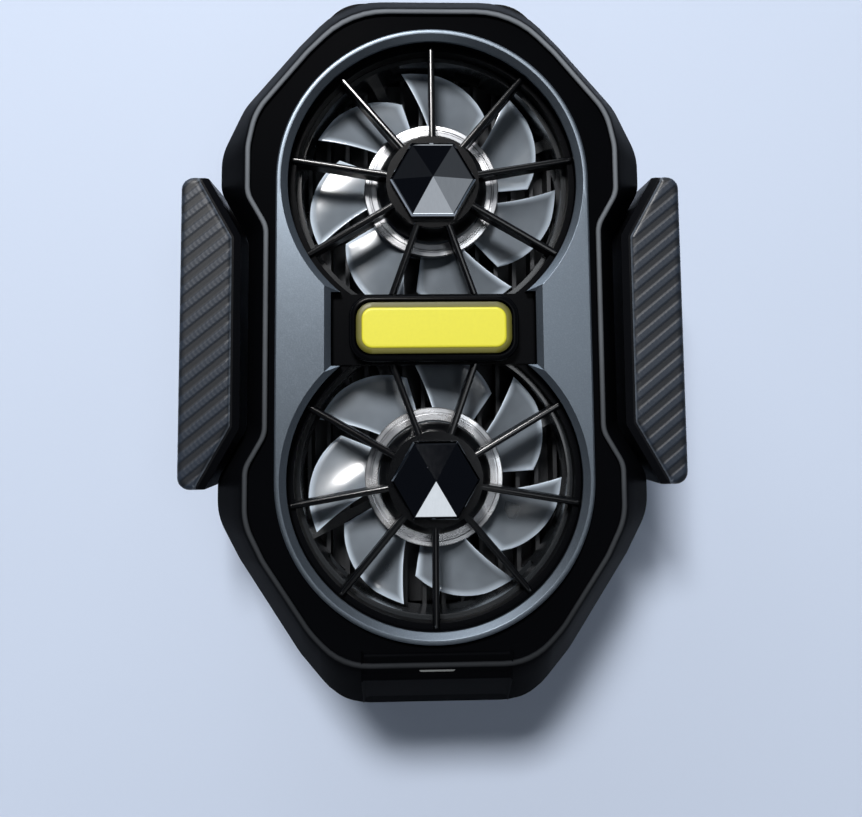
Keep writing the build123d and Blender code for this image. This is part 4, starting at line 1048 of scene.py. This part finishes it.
class COOLER_OT_stage(bpy.types.Operator):
    """Makes the floor, the lights and the camera"""

    bl_idname = "cooler.stage"
    bl_label = "Stage"

    def execute(self, context):
        scene, settings = context.scene, choices("stage")
        steps = np.linspace(-FLOOR_HALF, FLOOR_HALF, FLOOR_POINTS)
        x, y = np.meshgrid(steps, steps, indexing="xy")
        floor_z = cad_box[0][2]
        mesh = bpy.data.meshes.new("floor_sheet")
        points = np.stack([x, y, np.full(x.shape, floor_z)], -1).reshape(-1, 3)
        faces = grid_faces(FLOOR_POINTS, FLOOR_POINTS, rows_close=False, columns_close=False)
        mesh.from_pydata(points.tolist(), [], faces)
        mesh.materials.append(floor_finish())
        floor = bpy.data.objects.new("floor_sheet", mesh)
        scene.collection.objects.link(floor)

        world = bpy.data.worlds.new("studio")
        world.use_nodes = True
        sky = Tree(world.node_tree)
        direction = sky.node("ShaderNodeTexCoord").outputs["Generated"]
        height = sky.node("ShaderNodeSeparateXYZ", {}, {0: direction}).outputs["Z"]
        ramp = sky.node("ShaderNodeValToRGB", {}, {0: height})
        low, high = ramp.color_ramp.elements
        low.position, low.color = 0.12, (0.80, 0.88, 1.0, 1.0)
        high.position, high.color = 0.5, (0.012, 0.014, 0.02, 1.0)
        backdrop = sky.tree.nodes["Background"]
        backdrop.inputs["Strength"].default_value = settings.ambient
        sky.tree.links.new(ramp.outputs[0], backdrop.inputs["Color"])
        scene.world = world

        for name, place, size, power, colour in LIGHTS:
            light = bpy.data.lights.new(name, "AREA")
            light.shape = "RECTANGLE"
            light.size, light.size_y = size
            light.energy = getattr(settings, power) if isinstance(power, str) else power
            light.color = colour
            lamp = bpy.data.objects.new(name, light)
            place = np.array(place)
            away = place / np.linalg.norm(place)
            level = np.cross((0, 0, 1.0), away)
            level /= np.linalg.norm(level)
            turn = Matrix(np.column_stack([level, np.cross(away, level), away]).tolist()).to_4x4()
            lamp.matrix_world = Matrix.Translation(place.tolist()) @ turn
            scene.collection.objects.link(lamp)

        camera = bpy.data.cameras.new("photo_view")
        camera.sensor_width = SENSOR_WIDTH
        camera.lens = FOCAL_PIXELS * SENSOR_WIDTH / PHOTO_WIDTH
        camera.shift_x = (PHOTO_WIDTH / 2 - MIDDLE_PIXEL[0]) / PHOTO_WIDTH
        camera.shift_y = (MIDDLE_PIXEL[1] - PHOTO_HEIGHT / 2) / PHOTO_WIDTH
        camera.clip_start = 0.01
        tilt, swing, roll = CAMERA_TURNS
        turn = Matrix.Rotation(roll, 3, "Z") @ Matrix.Rotation(tilt, 3, "X") @ Matrix.Rotation(swing, 3, "Y")
        flip = Matrix.Diagonal((1, -1, -1))
        facing = ((turn @ flip).transposed() @ flip).to_4x4()
        eye = bpy.data.objects.new("photo_view", camera)
        eye.matrix_world = Matrix.Translation([part * MM for part in CAMERA_PLACE]) @ facing
        scene.collection.objects.link(eye)
        scene.camera = eye
        scene.view_settings.view_transform = "Standard"
        scene.view_settings.look = "None"
        return {"FINISHED"}


OPERATORS = (
    COOLER_OT_front_shell, COOLER_OT_fascia, COOLER_OT_grille, COOLER_OT_hub_caps, COOLER_OT_badge,
    COOLER_OT_rotors, COOLER_OT_wings, COOLER_OT_back, COOLER_OT_inside, COOLER_OT_stage,
)


class COOLER_PT_pieces(bpy.types.Panel):
    """Sidebar panel that lists the pieces and their sizes"""

    bl_idname = "COOLER_PT_pieces"
    bl_label = "Phone cooler"
    bl_space_type = "VIEW_3D"
    bl_region_type = "UI"
    bl_category = "Cooler"

    def draw(self, context):
        for group in GROUPS:
            box = self.layout.box()
            values = getattr(context.scene, group)
            for name in values.__annotations__:
                box.prop(values, name)
        for operator in OPERATORS:
            self.layout.operator(operator.bl_idname)


GROUPS = {"cooler_sizes": CoolerSizes, "cooler_colours": CoolerColours, "cooler_stage": CoolerStage}


def register():
    """Registers the groups, the operators and the panel."""
    for cls in (*GROUPS.values(), *OPERATORS, COOLER_PT_pieces):
        bpy.utils.register_class(cls)
    for group, cls in GROUPS.items():
        setattr(bpy.types.Scene, group, bpy.props.PointerProperty(type=cls))


def unregister():
    """Takes away what register added."""
    for group in GROUPS:
        delattr(bpy.types.Scene, group)
    for cls in (COOLER_PT_pieces, *reversed(OPERATORS), *GROUPS.values()):
        bpy.utils.unregister_class(cls)


def main():
    """Makes every piece and the stage."""
    register()
    for operator in OPERATORS:
        group, name = operator.bl_idname.split(".")
        getattr(getattr(bpy.ops, group), name)()


if __name__ == "__main__":
    main()
